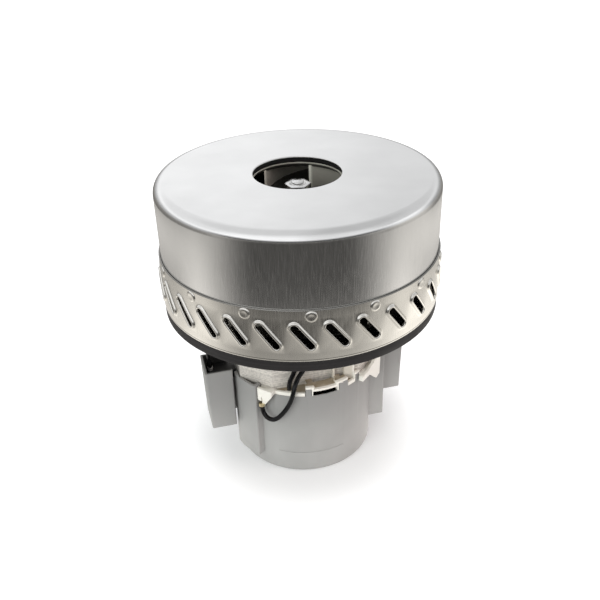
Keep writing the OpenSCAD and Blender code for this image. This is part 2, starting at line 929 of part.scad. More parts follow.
module upper_coil_frame() {
    color(white_tint) difference() {
        union() {
            lift(core_top) linear_extrude(frame_floor) core_outline(frame_over);
            translate([lug_front_u[0], -core_v - lug_front_out, core_top - lug_h])
                cube([lug_front_u[1] - lug_front_u[0], lug_front_out - fit, lug_h + frame_floor]);
            translate([-core_u - lug_out, -lug_side_l, lug_side_z])
                cube([lug_out - frame_over, lug_side_l, core_top + frame_floor - lug_side_z]);
        }
        translate([-frame_open_u, -frame_open_v, core_top - cut])
            cube([2 * frame_open_u, 2 * frame_open_v, frame_floor + 2 * cut]);
        for (p = post_spots) translate([p[0], p[1], core_top - cut])
            cylinder(r = post_r + fit, h = frame_floor + 2 * cut);
    }
}

// A tongue of the lower frame that hangs outside the cup, at a chamfer of the stack, and its plate.
// The outline's points count along the chamfer from its middle, and up from the stack's underside.
module tongue(side, outline, span) {
    lift(core_bottom) bearing(side * chamfer_bearing) {
        translate([0, tongue_t - tongue_out_r, 0]) rotate([90, 0, 0])
            linear_extrude(tongue_t) polygon(outline);
        translate([span[0], -tongue_out_r, -frame_floor])
            cube([span[1] - span[0], tongue_out_r - tongue_root_r, frame_floor + tongue_plate_t]);
    }
}

// Walls and bridges that stand on the lower frame's floor at the front.
module frame_front() {
    for (b = bridge_spans) lift(cup_h) linear_extrude(tab_h + bridge_t)
        sector_ring(rim_r, rim_r - rim_t - cup_wall, b[0], b[1]);
    lift(cup_h) linear_extrude(ledge_rise + ledge_t) sector_ring(rim_r, ledge_in_r, ledge_from, ledge_to);
    for (u = wall_u) translate([u, -rim_r + rim_t, cup_h])
        cube([wall_t, rim_r - rim_t - core_v - core_clear, wall_h + frame_floor]);
    for (s = upright_spans) translate([s[0], -core_v - upright_w, cup_h])
        cube([s[1] - s[0], upright_w, core_h + frame_floor - lug_h]);
    tongue(-1, tongue_left, tongue_left_span);
    tongue(1, tongue_right, tongue_right_span);
}

// Room for the cup's tabs and for the window under the ledge.
module frame_front_cuts() {
    for (t = tab_spans) lift(cup_h - cut) linear_extrude(tab_h + cut + fit)
        sector_ring(cup_r + cut, cup_in_r - fit, t[0] - tab_clear, t[1] + tab_clear);
    lift(cup_h - cut) linear_extrude(ledge_rise + cut)
        sector_ring(cup_r + cut, ledge_in_r - 2 * cut, ledge_from + cut, ledge_to - cut);
}

module lower_coil_frame() {
    color(white_tint) difference() {
        union() {
            lift(cup_h) cylinder(r = rim_r, h = frame_floor);
            lift(cup_h) tube(rim_r, rim_r - rim_t, frame_floor + rim_h);
            twins() frame_front();
            translate([lead_block_at[0], lead_block_at[1], core_bottom - cut / 2])
                cube([lead_block[0], lead_block[1], lead_block[2] + cut / 2]);
        }
        translate([-frame_open_u, -frame_open_v, cup_h - cut])
            cube([2 * frame_open_u, 2 * frame_open_v, frame_floor + 2 * cut]);
        twins() frame_front_cuts();
        lift(core_bottom) linear_extrude(core_h) core_outline(fit / 2);
        for (p = bolt_spots) translate([p[0], p[1], cup_h - cut])
            cylinder(r = bolt_r + fit, h = frame_floor + 2 * cut);
    }
}

// Motor cup
module cup_body() {
    rotate_extrude() {
        square([cup_r - foot_round, cup_h]);
        translate([0, foot_round]) square([cup_r, cup_h - foot_round]);
        translate([cup_r - foot_round, foot_round]) circle(r = foot_round);
    }
}

module bulge(r_out, r_in, inset, from, to) {
    lift(from) linear_extrude(to - from)
        sector_ring(r_out, r_in, brush_bearing - bulge_half + inset, brush_bearing + bulge_half - inset);
}

function box_lean(z) = box_draft * (z - box_bottom) / box_h;

// A terminal box's outside, or its inside a wall further in, between two heights. Its outer wall leans out.
module box_form(v, inset, from, to) {
    w = box_w - 2 * inset;
    translate([box_u + inset, v + box_l - inset, 0]) rotate([90, 0, 0]) linear_extrude(box_l - 2 * inset)
        polygon([[0, from], [w + box_lean(from), from], [w + box_lean(to), to], [0, to]]);
}

module boxes(inset, from, to) {
    box_form(box_right_v, inset, from, to);
    rotate([0, 0, 180]) box_form(box_left_v, inset, from, to);
}

// The left box is open to the stator above its sill.
module box_opening() {
    rotate([0, 0, 180]) translate([box_u - fit, box_left_v + box_t, box_sill])
        cube([box_t + 2 * fit, box_l - 2 * box_t, box_h]);
}

// Pillar between the wall and a terminal box, clear of the lower frame's floor.
module pillar(from, to) {
    difference() {
        translate([pillar_in, pillar_v, from]) cube([pillar_u - pillar_in, pillar_l, to - from]);
        lift(cup_h) cylinder(r = rim_r + core_clear, h = frame_floor + rim_h + core_clear);
    }
}

// Shallow recess between a bulge and the tongue beside it, deeper towards the rim.
module recess() {
    rise = cup_h + cut - recess_bottom;
    lift(recess_bottom) difference() {
        linear_extrude(rise) sector(cup_r + cut, recess_from, recess_to);
        cylinder(r1 = cup_r + shaft_fit, r2 = cup_r - recess_depth, h = rise);
    }
}

// Thinner rim under the ledge of the lower frame.
module rim_sink() {
    lift(cup_h - sink_depth) linear_extrude(sink_depth + cut / 2)
        sector_ring(cup_r - sink_wall, cup_in_r - cut, ledge_from + cut, ledge_to - cut);
}

// Bosses for the through bolts, each joined to the wall behind it.
module bolt_bosses() {
    depth = bolt_depth + bolt_boss_under;
    lift(cup_h - depth) linear_extrude(depth - fit) intersection() {
        for (p = bolt_spots) translate(p) {
            circle(r = bolt_boss_r);
            rotate([0, 0, atan2(p[1], p[0])]) translate([0, -bolt_boss_r]) square([cup_r, 2 * bolt_boss_r]);
        }
        circle(r = cup_r - fit);
    }
}

module motor_cup() {
    inset = asin(bulge_t / cup_r);
    boss_r = bearing_r + sleeve_t + boss_t;
    high = cup_h + bracket_h;
    color(cup_tint) difference() {
        union() {
            difference() {
                union() {
                    cup_body();
                    twins() for (t = tab_spans) lift(cup_h - cut) linear_extrude(tab_h + cut)
                        sector_ring(cup_r, cup_in_r - cut, t[0], t[1]);
                    twins() bulge(bulge_r, cup_in_r - cut, 0, bulge_bottom, bulge_top);
                    boxes(0, box_bottom, box_top);
                    pillar(pillar_bottom, pillar_top);
                    rotate([0, 0, 180]) pillar(box_bottom + box_floor, box_sill);
                }
                lift(cup_floor) cylinder(r = cup_in_r, h = high);
                twins() bulge(bulge_r - bulge_t, cup_in_r - 2 * cut, inset, holder_bottom, bulge_top + cut);
                boxes(box_t, box_bottom + box_floor, pillar_top + cut);
                box_opening();
                lift(cup_h) linear_extrude(high) core_outline(core_clear);
                twins() recess();
                twins() rim_sink();
                lift(seam_z) linear_extrude(seam_w)
                    sector_ring(cup_r + cut, cup_r - seam_depth, seam_from, seam_to);
            }
            cylinder(r = boss_r, h = lower_bearing + bearing_w + running);
            bolt_bosses();
        }
        lift(lower_bearing) cylinder(r = bearing_r + sleeve_t + shaft_fit, h = bearing_w + 2 * cut);
        lift(cup_floor) cylinder(r = bearing_r - race_t, h = seat_h + cut);
        for (p = bolt_spots) translate([p[0], p[1], cup_h - bolt_depth - fit])
            cylinder(r = bolt_r + shaft_fit, h = high);
        for (i = [0 : air_slots - 1]) bearing((i + 0.5) * 360 / air_slots)
            translate([0, -(air_slot_from + air_slot_to) / 2, -cut]) linear_extrude(cup_floor + 2 * cut)
                slot_outline(air_slot_to - air_slot_from, air_slot_w);
    }
}

// Brush gear, built at the front and turned to its bearing
module brush_block(w, h, from, to) {
    translate([-w / 2, -to, brush_z - h / 2]) cube([w, to - from, h]);
}

module brush_holder(a) {
    color(rubber_tint) bearing(a) difference() {
        brush_block(holder_w, holder_h, holder_in, holder_out);
        brush_block(tube_w + 2 * fit, tube_h + 2 * fit, holder_in - cut, holder_out + cut);
    }
}

module brush_tube(a) {
    color(brass_tint) bearing(a) difference() {
        brush_block(tube_w, tube_h, tube_in, tube_out);
        brush_block(brush_w + 2 * fit, brush_h + 2 * fit, tube_in - cut, tube_out - tube_cap);
    }
}

module carbon_brush(a) {
    color(carbon_tint) bearing(a) difference() {
        brush_block(brush_w, brush_h, commutator_r - cut, brush_out);
        lift(commutator_bottom - cut) cylinder(r = commutator_r + brush_gap, h = commutator_h + 2 * cut);
    }
}

function spring_point(turn, out) = [spring_r * cos(turn), -out, brush_z + spring_r * sin(turn)];

module brush_spring(a) {
    from = brush_out + spring_wire / 2;
    to = tube_out - tube_cap - spring_wire / 2;
    count = spring_turns * spring_steps;
    coil = [for (i = [0 : count]) spring_point(360 * i / spring_steps, from + (to - from) * i / count)];
    color(bright_tint) bearing(a) round_lead(coil, spring_wire, spring_sides, [0, 1, 0]);
}

module brush_holder_left() {
    brush_holder(brush_bearing);
}

module brush_holder_right() {
    brush_holder(brush_bearing + 180);
}

module brush_tube_left() {
    brush_tube(brush_bearing);
}

module brush_tube_right() {
    brush_tube(brush_bearing + 180);
}

module carbon_brush_left() {
    carbon_brush(brush_bearing);
}

module carbon_brush_right() {
    carbon_brush(brush_bearing + 180);
}

module brush_spring_left() {
    brush_spring(brush_bearing);
}

module brush_spring_right() {
    brush_spring(brush_bearing + 180);
}

// Terminals: an insulating block on the floor of each box, with a blade beside it
module terminal_block(v) {
    in_w = box_w - 2 * box_t - 2 * fit;
    in_l = box_l - 2 * box_t - 2 * fit;
    color(rubber_tint) translate([box_u + box_t + fit, v + box_t + fit, box_bottom + box_floor]) {
        cube([in_w, in_l, base_t]);
        cube([in_w, block_l, block_top]);
    }
}

// The left block has an arm over the box's sill, towards the stator.
module terminal_block_left() {
    arm_u = core_u + arm_gap;
    arm_z = box_sill + running;
    rotate([0, 0, 180]) {
        terminal_block(box_left_v);
        color(rubber_tint) translate([arm_u, box_left_v + box_t + fit, arm_z])
            cube([box_u + box_w / 2 - arm_u, block_l, crimp_bottom - arm_z]);
    }
}

module terminal_block_right() {
    terminal_block(box_right_v);
}

module spade(v) {
    translate([
        box_u + (box_w - blade_thick) / 2,
        v + box_l - box_t - blade_in - blade_w,
        box_bottom + box_floor + base_t
    ]) cube([blade_thick, blade_w, blade_h]);
}

module spade_terminals() {
    color(steel_tint) {
        spade(box_right_v);
        rotate([0, 0, 180]) spade(box_left_v);
    }
}

module lead_crimp() {
    color(brass_tint) translate([crimp_at[0], crimp_at[1], crimp_bottom]) cylinder(r = crimp_r, h = crimp_h);
}

module lead_ferrule() {
    color(brass_tint) translate([ferrule_at[0], ferrule_at[1], ferrule_top - ferrule_h])
        cylinder(r = ferrule_r, h = ferrule_h);
}

function outside_point(p) = concat(spot(cup_r + p[1], p[0]), [core_bottom + p[2]]);
function stack_point(p) = [p[0], -core_v - p[1], core_bottom + p[2]];

module lead(points) {
    color(rubber_tint) round_lead(curve(points, lead_steps), lead_d, lead_sides, [1, 0, 0]);
}

module field_lead() {
    outside = [for (p = field_route_outside) outside_point(p)];
    lead(concat(outside, [for (p = field_route_stack) stack_point(p)]));
}

module coil_lead() {
    lead([for (p = coil_route) stack_point(p)]);
}

module supply_lead() {
    way = supply_to - supply_from;
    lead([for (p = supply_route) supply_from + [p[0] * way[0], p[1] * way[1], p[2] * way[2]]]);
}

fan_cover();
inlet_seal();
impeller_1_shroud();
impeller_1_blades();
impeller_1_disc();
guide_top_plate();
guide_vanes();
guide_base();
impeller_2_shroud();
impeller_2_blades();
impeller_2_disc();
vent_pan();
flange_gasket();
pan_screws();
fan_end_bracket();
through_bolts();
upper_bearing_outer();
upper_bearing_inner();
upper_bearing_balls();
lower_bearing_outer();
lower_bearing_inner();
lower_bearing_balls();
lower_bearing_sleeve();
shaft();
fan_spacer();
spacer_lower();
spacer_middle();
spacer_upper();
shaft_washer();
shaft_nut();
armature_core();
armature_winding();
commutator();
cooling_fan();
stator_stack();
field_coils();
upper_coil_frame();
lower_coil_frame();
motor_cup();
brush_holder_left();
brush_holder_right();
brush_tube_left();
brush_tube_right();
carbon_brush_left();
carbon_brush_right();
brush_spring_left();
brush_spring_right();
terminal_block_left();
terminal_block_right();
spade_terminals();
lead_crimp();
lead_ferrule();
field_lead();
coil_lead();
supply_lead();
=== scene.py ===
"""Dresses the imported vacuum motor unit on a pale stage.

Lengths are metres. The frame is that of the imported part: Z is the axis of rotation, -Y the front and +X the
right."""
import math

import bmesh
import bpy
from bpy.props import FloatProperty, FloatVectorProperty, IntProperty, PointerProperty
from mathutils import Matrix, Vector


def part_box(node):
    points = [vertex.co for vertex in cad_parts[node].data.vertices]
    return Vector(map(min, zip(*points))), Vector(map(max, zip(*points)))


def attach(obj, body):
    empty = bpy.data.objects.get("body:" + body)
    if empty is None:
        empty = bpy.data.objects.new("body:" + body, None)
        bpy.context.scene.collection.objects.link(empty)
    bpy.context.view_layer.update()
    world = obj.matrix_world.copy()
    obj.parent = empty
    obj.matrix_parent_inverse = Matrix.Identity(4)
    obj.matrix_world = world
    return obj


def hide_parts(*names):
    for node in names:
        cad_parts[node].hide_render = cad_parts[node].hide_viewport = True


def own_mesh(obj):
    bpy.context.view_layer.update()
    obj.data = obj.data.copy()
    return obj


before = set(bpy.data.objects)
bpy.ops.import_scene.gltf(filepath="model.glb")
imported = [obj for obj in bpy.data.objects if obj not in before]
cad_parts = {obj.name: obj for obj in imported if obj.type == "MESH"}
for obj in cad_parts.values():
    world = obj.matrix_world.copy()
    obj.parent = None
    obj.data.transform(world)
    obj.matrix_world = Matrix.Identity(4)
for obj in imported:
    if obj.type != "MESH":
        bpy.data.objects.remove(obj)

bl_info = {
    "name": "Vacuum motor unit",
    "version": (1, 0, 0),
    "blender": (4, 5, 0),
    "location": "View3D > Sidebar > Motor",
    "description": "Builds the looks of a two-stage vacuum motor unit over its packed parts",
    "category": "Object",
}


def length(name, description, default):
    """A length property, in metres."""
    return FloatProperty(name=name, description=description, default=default, unit="LENGTH", precision=5)


def angle(name, description, degrees):
    """An angle property, given in degrees."""
    return FloatProperty(name=name, description=description, default=math.radians(degrees), subtype="ANGLE")


def colour(name, description, *rgb):
    """A colour property, given as linear red, green and blue."""
    return FloatVectorProperty(
        name=name, description=description, default=(*rgb, 1.0), size=4, subtype="COLOR", min=0.0, max=1.0
    )


class MotorSizes(bpy.types.PropertyGroup):
    """Sizes of the pieces that are made new for their looks."""

    sheet: length("Sheet", "Thickness of the pressed sheet", 0.0008)
    pan_radius: length("Pan radius", "Outside radius of the vent pan", 0.072)
    pan_bottom: length("Pan bottom", "Height of the vent pan's floor", 0.0985)
    pan_top: length("Pan top", "Height of the vent pan's edge", 0.1255)
    pan_hole: length("Pan hole", "Radius of the hole in the vent pan's floor", 0.013)
    # The dark line at the pan's foot is painted shade under its hem.
    hem_height: length("Hem height", "Height of the dark line at the pan's foot", 0.0012)
    seam: length("Seam", "Width of the dark lines at the pan's foot and rim", 0.0004)
    vent_count: IntProperty(name="Vents", description="Number of exhaust vents", default=29, min=3)
    vent_first: angle("First vent", "Bearing of the first vent from the front", -13.8)
    vent_slant: angle("Vent slant", "Slant of a vent from upright", 37.5)
    vent_length: length("Vent length", "Length of a vent from tip to tip", 0.0154)
    vent_width: length("Vent width", "Width of a vent", 0.0032)
    vent_height: length("Vent height", "Height of the vents' centres", 0.112)
    lip_width: length("Lip width", "Width of the raised lip round a vent", 0.0011)
    # The dark lines are painted shade: under the hem at the foot, and in the gap at the rim, where the cut
    # edge is dark too.
    lip_height: length("Lip height", "Height of the raised lip round a vent", 0.001)
    clinch_count: IntProperty(name="Buttons", description="Number of clinched buttons", default=15, min=1)
    clinch_first: angle("First button", "Bearing of the first button from the front", -10.6)
    clinch_radius: length("Button radius", "Radius of a clinched button", 0.003)
    clinch_height: length("Button height", "Height of the buttons' centres", 0.1224)
    clinch_out: length("Button depth", "How far a button stands out", 0.0006)
    cover_radius: length("Cover radius", "Outside radius of the fan cover", 0.071)
    cover_bottom: length("Cover bottom", "Height of the fan cover's lower edge", 0.1193)
    cover_top: length("Cover top", "Height of the fan cover's top", 0.162)
    cover_round: length("Cover rounding", "Rounding of the fan cover's top edge", 0.005)
    inlet_radius: length("Inlet radius", "Radius of the air inlet", 0.022)
    blade_radius: length("Blade radius", "Radius of the blades' inner edges", 0.024)
    gasket_radius: length("Gasket radius", "Outside radius of the flange gasket", 0.0718)
    gasket_rib: length("Gasket rib", "Width of the gasket's deep outer rib", 0.0118)
    gasket_flange: length("Gasket flange", "Width of the gasket's thin inner flange", 0.008)
    gasket_bottom: length("Gasket bottom", "Height of the gasket's underside", 0.093)
    gasket_step: length("Gasket step", "Height of the inner flange's underside", 0.096)
    plastic_edge: length("Plastic edge", "Rounding of the edges of mouldings", 0.00028)
    corner_edge: length("Corner edge", "Rounding of the tall corners outside the cup", 0.0009)
    cup_radius: length("Cup radius", "Outside radius of the motor cup", 0.0379)
    rim_inside: length("Rim inside", "Radius within which the lower frame's floor lies", 0.0362)
    metal_edge: length("Metal edge", "Rounding of the edges of metal pieces", 0.0002)
    lead_diameter: length("Lead diameter", "Diameter of the insulated leads", 0.0025)
    brush_bearing: angle("Brush bearing", "Bearing of the left brush from the front", -63)
    spring_outer: length("Spring seat", "Radius of the cap that the brush springs bear on", 0.0392)
    spring_inner: length("Brush end", "Radius of the brushes' outer ends", 0.03005)
    brush_height: length("Brush height", "Height of the brushes' centres", 0.034)
    brush_travel: length("Brush travel", "Travel of a brush into its tube", 0.0025)


class MotorColours(bpy.types.PropertyGroup):
    """Base colours of the finishes."""

    cover_steel: colour("Cover steel", "Plated sheet of the fan cover", 0.94, 0.94, 0.935)
    pan_steel: colour("Pan steel", "Plated sheet of the vent pan", 0.87, 0.85, 0.80)
    alloy: colour("Alloy", "Impellers and bracket", 0.80, 0.76, 0.67)
    machined: colour("Machined steel", "Shaft, nut, washer and bearings", 0.96, 0.95, 0.93)
    stack: colour("Stack steel", "Stamped sheets of the stator and armature", 0.66, 0.62, 0.57)
    copper: colour("Copper", "Winding wire and commutator", 0.62, 0.27, 0.11)
    brass: colour("Brass", "Brush tubes and ferrule", 0.86, 0.74, 0.48)
    carbon: colour("Carbon", "Brushes", 0.03, 0.03, 0.032)
    grey_plastic: colour("Grey plastic", "Motor cup", 0.415, 0.409, 0.398)
    white_plastic: colour("White plastic", "Coil frames", 0.88, 0.85, 0.78)
    # Tan painted shade with some stain, inside the rim of the lower coil frame under the overhang.
    shade_and_stain: colour("Stain", "Varnish stains on the floor of the lower coil frame", 0.36, 0.29, 0.20)
    black_plastic: colour("Black plastic", "Brush holders, blocks and cooling fan", 0.018, 0.018, 0.019)
    rubber: colour("Rubber", "Gasket, seal and bearing sleeve", 0.0135, 0.012, 0.0125)
    sheath: colour("Lead sheath", "Insulation of the leads", 0.004, 0.004, 0.0045)
    floor: colour("Floor", "Studio floor", 0.82, 0.82, 0.82)


# Leads: the points they are led through, in order from their seen ends.
FIELD_LEAD = (
    (-0.0299, -0.0281, 0.0450), (-0.0299, -0.0281, 0.0443), (-0.0299, -0.0281, 0.0436),
    (-0.0296, -0.0288, 0.0410), (-0.0285, -0.0306, 0.0389), (-0.0266, -0.0327, 0.0382),
    (-0.0244, -0.0346, 0.0391), (-0.0220, -0.0360, 0.0418), (-0.0194, -0.0371, 0.0458),
    (-0.0168, -0.0378, 0.0507), (-0.0150, -0.0378, 0.0562), (-0.0134, -0.0360, 0.0602),
    (-0.0106, -0.0332, 0.0632), (-0.0070, -0.0312, 0.0660), (-0.0046, -0.0304, 0.0700),
    (-0.0040, -0.0304, 0.0760), (-0.0040, -0.0304, 0.0810), (-0.0040, -0.0304, 0.0840),
)
COIL_LEAD = (
    (-0.0155, -0.0312, 0.0544), (-0.0153, -0.0312, 0.0588), (-0.0136, -0.0308, 0.0620),
    (-0.0120, -0.0304, 0.0656), (-0.0110, -0.0304, 0.0700), (-0.0106, -0.0304, 0.0760),
    (-0.0106, -0.0304, 0.0810), (-0.0106, -0.0304, 0.0840),
)
SUPPLY_LEAD = (
    (-0.0529, -0.0035, 0.0580), (-0.0529, -0.0035, 0.0610), (-0.0531, -0.0034, 0.0660),
    (-0.0529, -0.0032, 0.0710), (-0.0511, -0.0028, 0.0760), (-0.0481, -0.0024, 0.0800),
    (-0.0454, -0.0020, 0.0820), (-0.0434, -0.0020, 0.0826), (-0.0414, -0.0020, 0.0826),
)

# Corners of the insides of the terminal boxes, half-way through their walls, where the cup is painted
# near-black as shade.
SHADED_POCKETS = (
    ((-0.0559, -0.0148, 0.028), (-0.0430, 0.0030, 0.070)),
    ((0.0430, -0.0076, 0.028), (0.0559, 0.0102, 0.070)),
)

# The camera's place, what it looks at, its roll, its lens in millimetres, its shift and its near limit.
CAMERA_PLACE = Vector((-0.0854, -0.3423, 0.2970))
CAMERA_TARGET = Vector((0.0, 0.0, 0.090))
CAMERA_ROLL = math.radians(-1.64)
CAMERA_LENS = 45.45
CAMERA_SHIFT = (-0.0016, -0.0035)
CAMERA_CLIP = 0.01

# Level directions from the object to the camera and to the camera's left.
FRONT = Vector((CAMERA_PLACE.x, CAMERA_PLACE.y, 0.0)).normalized()
LEFT = Vector((FRONT.y, -FRONT.x, 0.0))

# Name, place, diameter, power and tint of each lamp, and the point that they aim at.
LAMPS = (
    ("key", (-0.85, -0.8, 0.5), 0.9, 8.8, (0.955, 1.0, 0.98)),
    ("fill", (0.85, -0.6, 0.5), 0.9, 4.4, (1.0, 0.875, 0.85)),
    ("overhead", (0.0, 0.15, 1.25), 1.1, 3.0, (1.0, 1.0, 1.0)),
)
LAMP_AIM = Vector((0.0, 0.0, 0.08))

# Half the floor's width, and the tints of the floor in reflections and of the surroundings.
FLOOR_HALF = 6.0
FLOOR_GLOW = (1.0, 0.965, 0.91, 1.0)
SKY_TINT = (0.985, 0.99, 1.0, 1.0)

# Strengths of the surroundings: to the camera, on the object, and what the dark front takes from the second.
SKY_SEEN = 1.02
SKY_LEVEL = 0.55
SKY_DARK = 0.24

# Distances within which vertices are welded, in new meshes and in those of CAD nodes.
NEW_WELD = 1e-6
NODE_WELD = 2e-6

# Degrees between the faces of one flat, degrees over edges that are rounded, and steps of a wide rounding.
FLAT_ANGLE = 0.6
EDGE_ANGLE = 28.0
WIDE_STEPS = 4


def sizes():
    """The scene's sizes."""
    return bpy.context.scene.motor_sizes


def colours():
    """The scene's colours."""
    return bpy.context.scene.motor_colours


# Shading


class Signal:
    """A shader socket that takes part in arithmetic, and makes further nodes in its tree."""

    def __init__(self, tree, socket=None):
        self.tree = tree
        self.socket = socket

    def node(self, kind, settings=None, sockets=None, output=0):
        """The output of a new node of a kind, with its settings and input sockets."""
        made = self.tree.nodes.new(kind)
        for key, value in (settings or {}).items():
            setattr(made, key, value)
        for key, value in (sockets or {}).items():
            if isinstance(value, Signal):
                self.tree.links.new(value.socket, made.inputs[key])
            else:
                made.inputs[key].default_value = value
        return Signal(self.tree, made.outputs[output] if len(made.outputs) else None)

    def maths(self, operation, *values):
        """One step of arithmetic on numbers."""
        return self.node("ShaderNodeMath", {"operation": operation}, dict(enumerate(values)))

    def vector(self, operation, *values, output=0):
        """One step of arithmetic on vectors."""
        return self.node("ShaderNodeVectorMath", {"operation": operation}, dict(enumerate(values)), output)

    def __add__(self, other):
        return self.maths("ADD", self, other)

    def __radd__(self, other):
        return self.maths("ADD", other, self)

    def __sub__(self, other):
        return self.maths("SUBTRACT", self, other)

    def __rsub__(self, other):
        return self.maths("SUBTRACT", other, self)

    def __mul__(self, other):
        return self.maths("MULTIPLY", self, other)

    def __rmul__(self, other):
        return self.maths("MULTIPLY", other, self)

    def ramp(self, low, high, first=0.0, last=1.0):
        """This signal eased from first to last as it goes from low to high."""
        sockets = {"Value": self, "From Min": low, "From Max": high, "To Min": first, "To Max": last}
        return self.node("ShaderNodeMapRange", {"interpolation_type": "SMOOTHSTEP"}, sockets)

    def middle(self, first=0.0, last=1.0):
        """This noise eased from first to last over the middle of its range."""
        return self.ramp(0.3, 0.7, first, last)

    def between(self, low, high, fade):
        """1 where this signal lies between two values, with a fade at each."""
        return self.ramp(low - fade, low + fade) - self.ramp(high - fade, high + fade)

    def axis(self, name):
        """This vector's part along an axis."""
        return self.node("ShaderNodeSeparateXYZ", {}, {0: self}, name)

    def compass(self):
        """How far this direction points to the camera, and to the camera's left."""
        return tuple(self.vector("DOT_PRODUCT", self, way, output="Value") for way in (FRONT, LEFT))

    def ray(self, kind):
        """1 for rays of a kind."""
        return self.node("ShaderNodeLightPath", output=kind)

    def emission(self, strength, tint=(1.0, 1.0, 1.0, 1.0)):
        """A shader that glows."""
        return self.node("ShaderNodeEmission", {}, {"Color": tint, "Strength": strength})

    def place(self):
        """Position on the object."""
        return self.node("ShaderNodeTexCoord", output="Object")

    def noise(self, scale, detail=3.0, stretch=(1.0, 1.0, 1.0)):
        """Noise over the object, with its own scale along each axis."""
        spread = self.vector("MULTIPLY", self.place(), stretch)
        return self.node("ShaderNodeTexNoise", {}, {"Vector": spread, "Scale": scale, "Detail": detail})

    def blend(self, first, second):
        """Two colours mixed by this signal."""
        return self.node("ShaderNodeMix", {"data_type": "RGBA"}, {0: self, 6: first, 7: second}, 2)

    def bump(self, distance, strength):
        """A normal roughened by this signal as a height."""
        return self.node("ShaderNodeBump", {}, {"Strength": strength, "Distance": distance, "Height": self})

    def radius(self):
        """Distance of the surface from the axis."""
        level = self.vector("MULTIPLY", self.place(), (1.0, 1.0, 0.0))
        return self.vector("LENGTH", level, output="Value")

    def height(self):
        """Height of the surface."""
        return self.place().axis("Z")

    def within(self, low, high):
        """1 where the surface lies within a box."""
        place = self.place()
        inside = 1.0
        for name, start, end in zip("XYZ", low, high):
            inside = inside * place.axis(name).between(start, end, fade=0.0001)
        return inside

    def upward(self):
        """How far the surface faces up or down, from 0 to 1."""
        rise = self.node("ShaderNodeNewGeometry", output="Normal").axis("Z")
        return rise.maths("ABSOLUTE", rise)


def shade(rgba, factor):
    """A colour made lighter or darker."""
    return (*(min(1.0, c * factor) for c in rgba[:3]), 1.0)


def emptied(block):
    """A signal to make the nodes of a new material or world with."""
    block.use_nodes = True
    block.node_tree.nodes.clear()
    return Signal(block.node_tree)


# Finishes: each gives a function that builds the sockets of the main shader.


def sheet_metal(rgba, rough, streak, spread, shade_seams=()):
    """Pressed sheet: upright drawing streaks on the walls, and a fine cross grain on the flats.

    Its roughness goes from rough up by spread, and streak is the share of the lines in its tone. Shade seams
    are pairs of heights that it is painted dark between, as shade: the shadow under a hem, and that in the
    gap at a rim, where the cut edge is dark too."""

    def build(paint):
        drawn = paint.noise(3600.0, stretch=(1.0, 1.0, 0.04))
        rolled = 0.35 + 0.3 * paint.noise(1400.0, stretch=(0.08, 1.0, 1.0))
        cloud = paint.noise(45.0, detail=2.0)
        flat = paint.upward().ramp(0.05, 0.4)
        lines = drawn + flat * (rolled - drawn)
        tone = lines * streak + cloud * (1.0 - streak)
        surface = tone.ramp(0.25, 0.75).blend(shade(rgba, 0.92), shade(rgba, 1.05))
        # Painted shade: a dark line between the heights of each seam.
        for low, high in shade_seams:
            seam = paint.height().between(low, high, fade=0.00003)
            surface = seam.blend(surface, shade(rgba, 0.34))
        return {
            "Base Color": surface,
            "Metallic": 1.0,
            "Roughness": lines.ramp(0.4, 0.7, rough, rough + spread),
            "Normal": lines.bump(distance=0.000002, strength=0.5),
        }

    return build


def grained_metal(rgba, grain, cloud, share, shades, metallic, rough, bump):
    """Metal with a grain and clouds, mixed by the grain's share and toned between two shades.

    The clouds change its roughness, and bump is the distance and strength that the grain is raised by."""

    def build(paint):
        lines, patches = paint.noise(**grain), paint.noise(**cloud)
        tone = (share * lines + (1.0 - share) * patches).middle()
        return {
            "Base Color": tone.blend(*(shade(rgba, factor) for factor in shades)),
            "Metallic": metallic,
            "Roughness": patches.middle(*rough),
            "Normal": lines.bump(*bump),
        }

    return build


def cast_metal(rgba, rough, metallic=1.0):
    """Cast or tumbled metal with a fine even grain."""
    return grained_metal(
        rgba, {"scale": 1600.0, "detail": 4.0}, {"scale": 80.0, "detail": 2.0}, share=0.5,
        shades=(0.82, 1.08), metallic=metallic, rough=(rough - 0.05, rough + 0.08), bump=(0.00003, 0.4),
    )


def turned_metal(rgba, rough):
    """Turned metal with fine rings along the axis."""
    rings = {"scale": 2500.0, "detail": 2.0, "stretch": (0.05, 0.05, 1.0)}
    return grained_metal(
        rgba, rings, {"scale": 120.0, "detail": 2.0}, share=1.0, shades=(0.85, 1.08),
        metallic=1.0, rough=(rough - 0.04, rough + 0.08), bump=(0.00001, 0.4),
    )


def wound_copper(rgba):
    """Enamelled wire wound in rows."""
    rows = {"scale": 1100.0, "detail": 1.0, "stretch": (1.0, 0.05, 0.05)}
    return grained_metal(
        rgba, rows, {"scale": 150.0}, share=0.6, shades=(0.5, 1.1),
        metallic=0.75, rough=(0.28, 0.45), bump=(0.00025, 0.8),
    )


def impeller_sheet(rgba, measure, lit_ramp, painted_shade):
    """Dull sheet, darkened to a share as painted shade inside the housing, except where the ramp of a measure
    leaves it lit.
    """
    dull = grained_metal(
        rgba, {"scale": 1400.0}, {"scale": 90.0}, share=0.4,
        shades=(1.0, 1.3), metallic=0.3, rough=(0.34, 0.5), bump=(0.00001, 0.5),
    )

    def build(paint):
        sockets = dull(paint)
        # Painted shade: dark inside the housing, except where the ramp leaves it lit.
        sockets["Base Color"] = measure(paint).ramp(*lit_ramp).blend(shade(rgba, painted_shade), sockets["Base Color"])
        return sockets

    return build


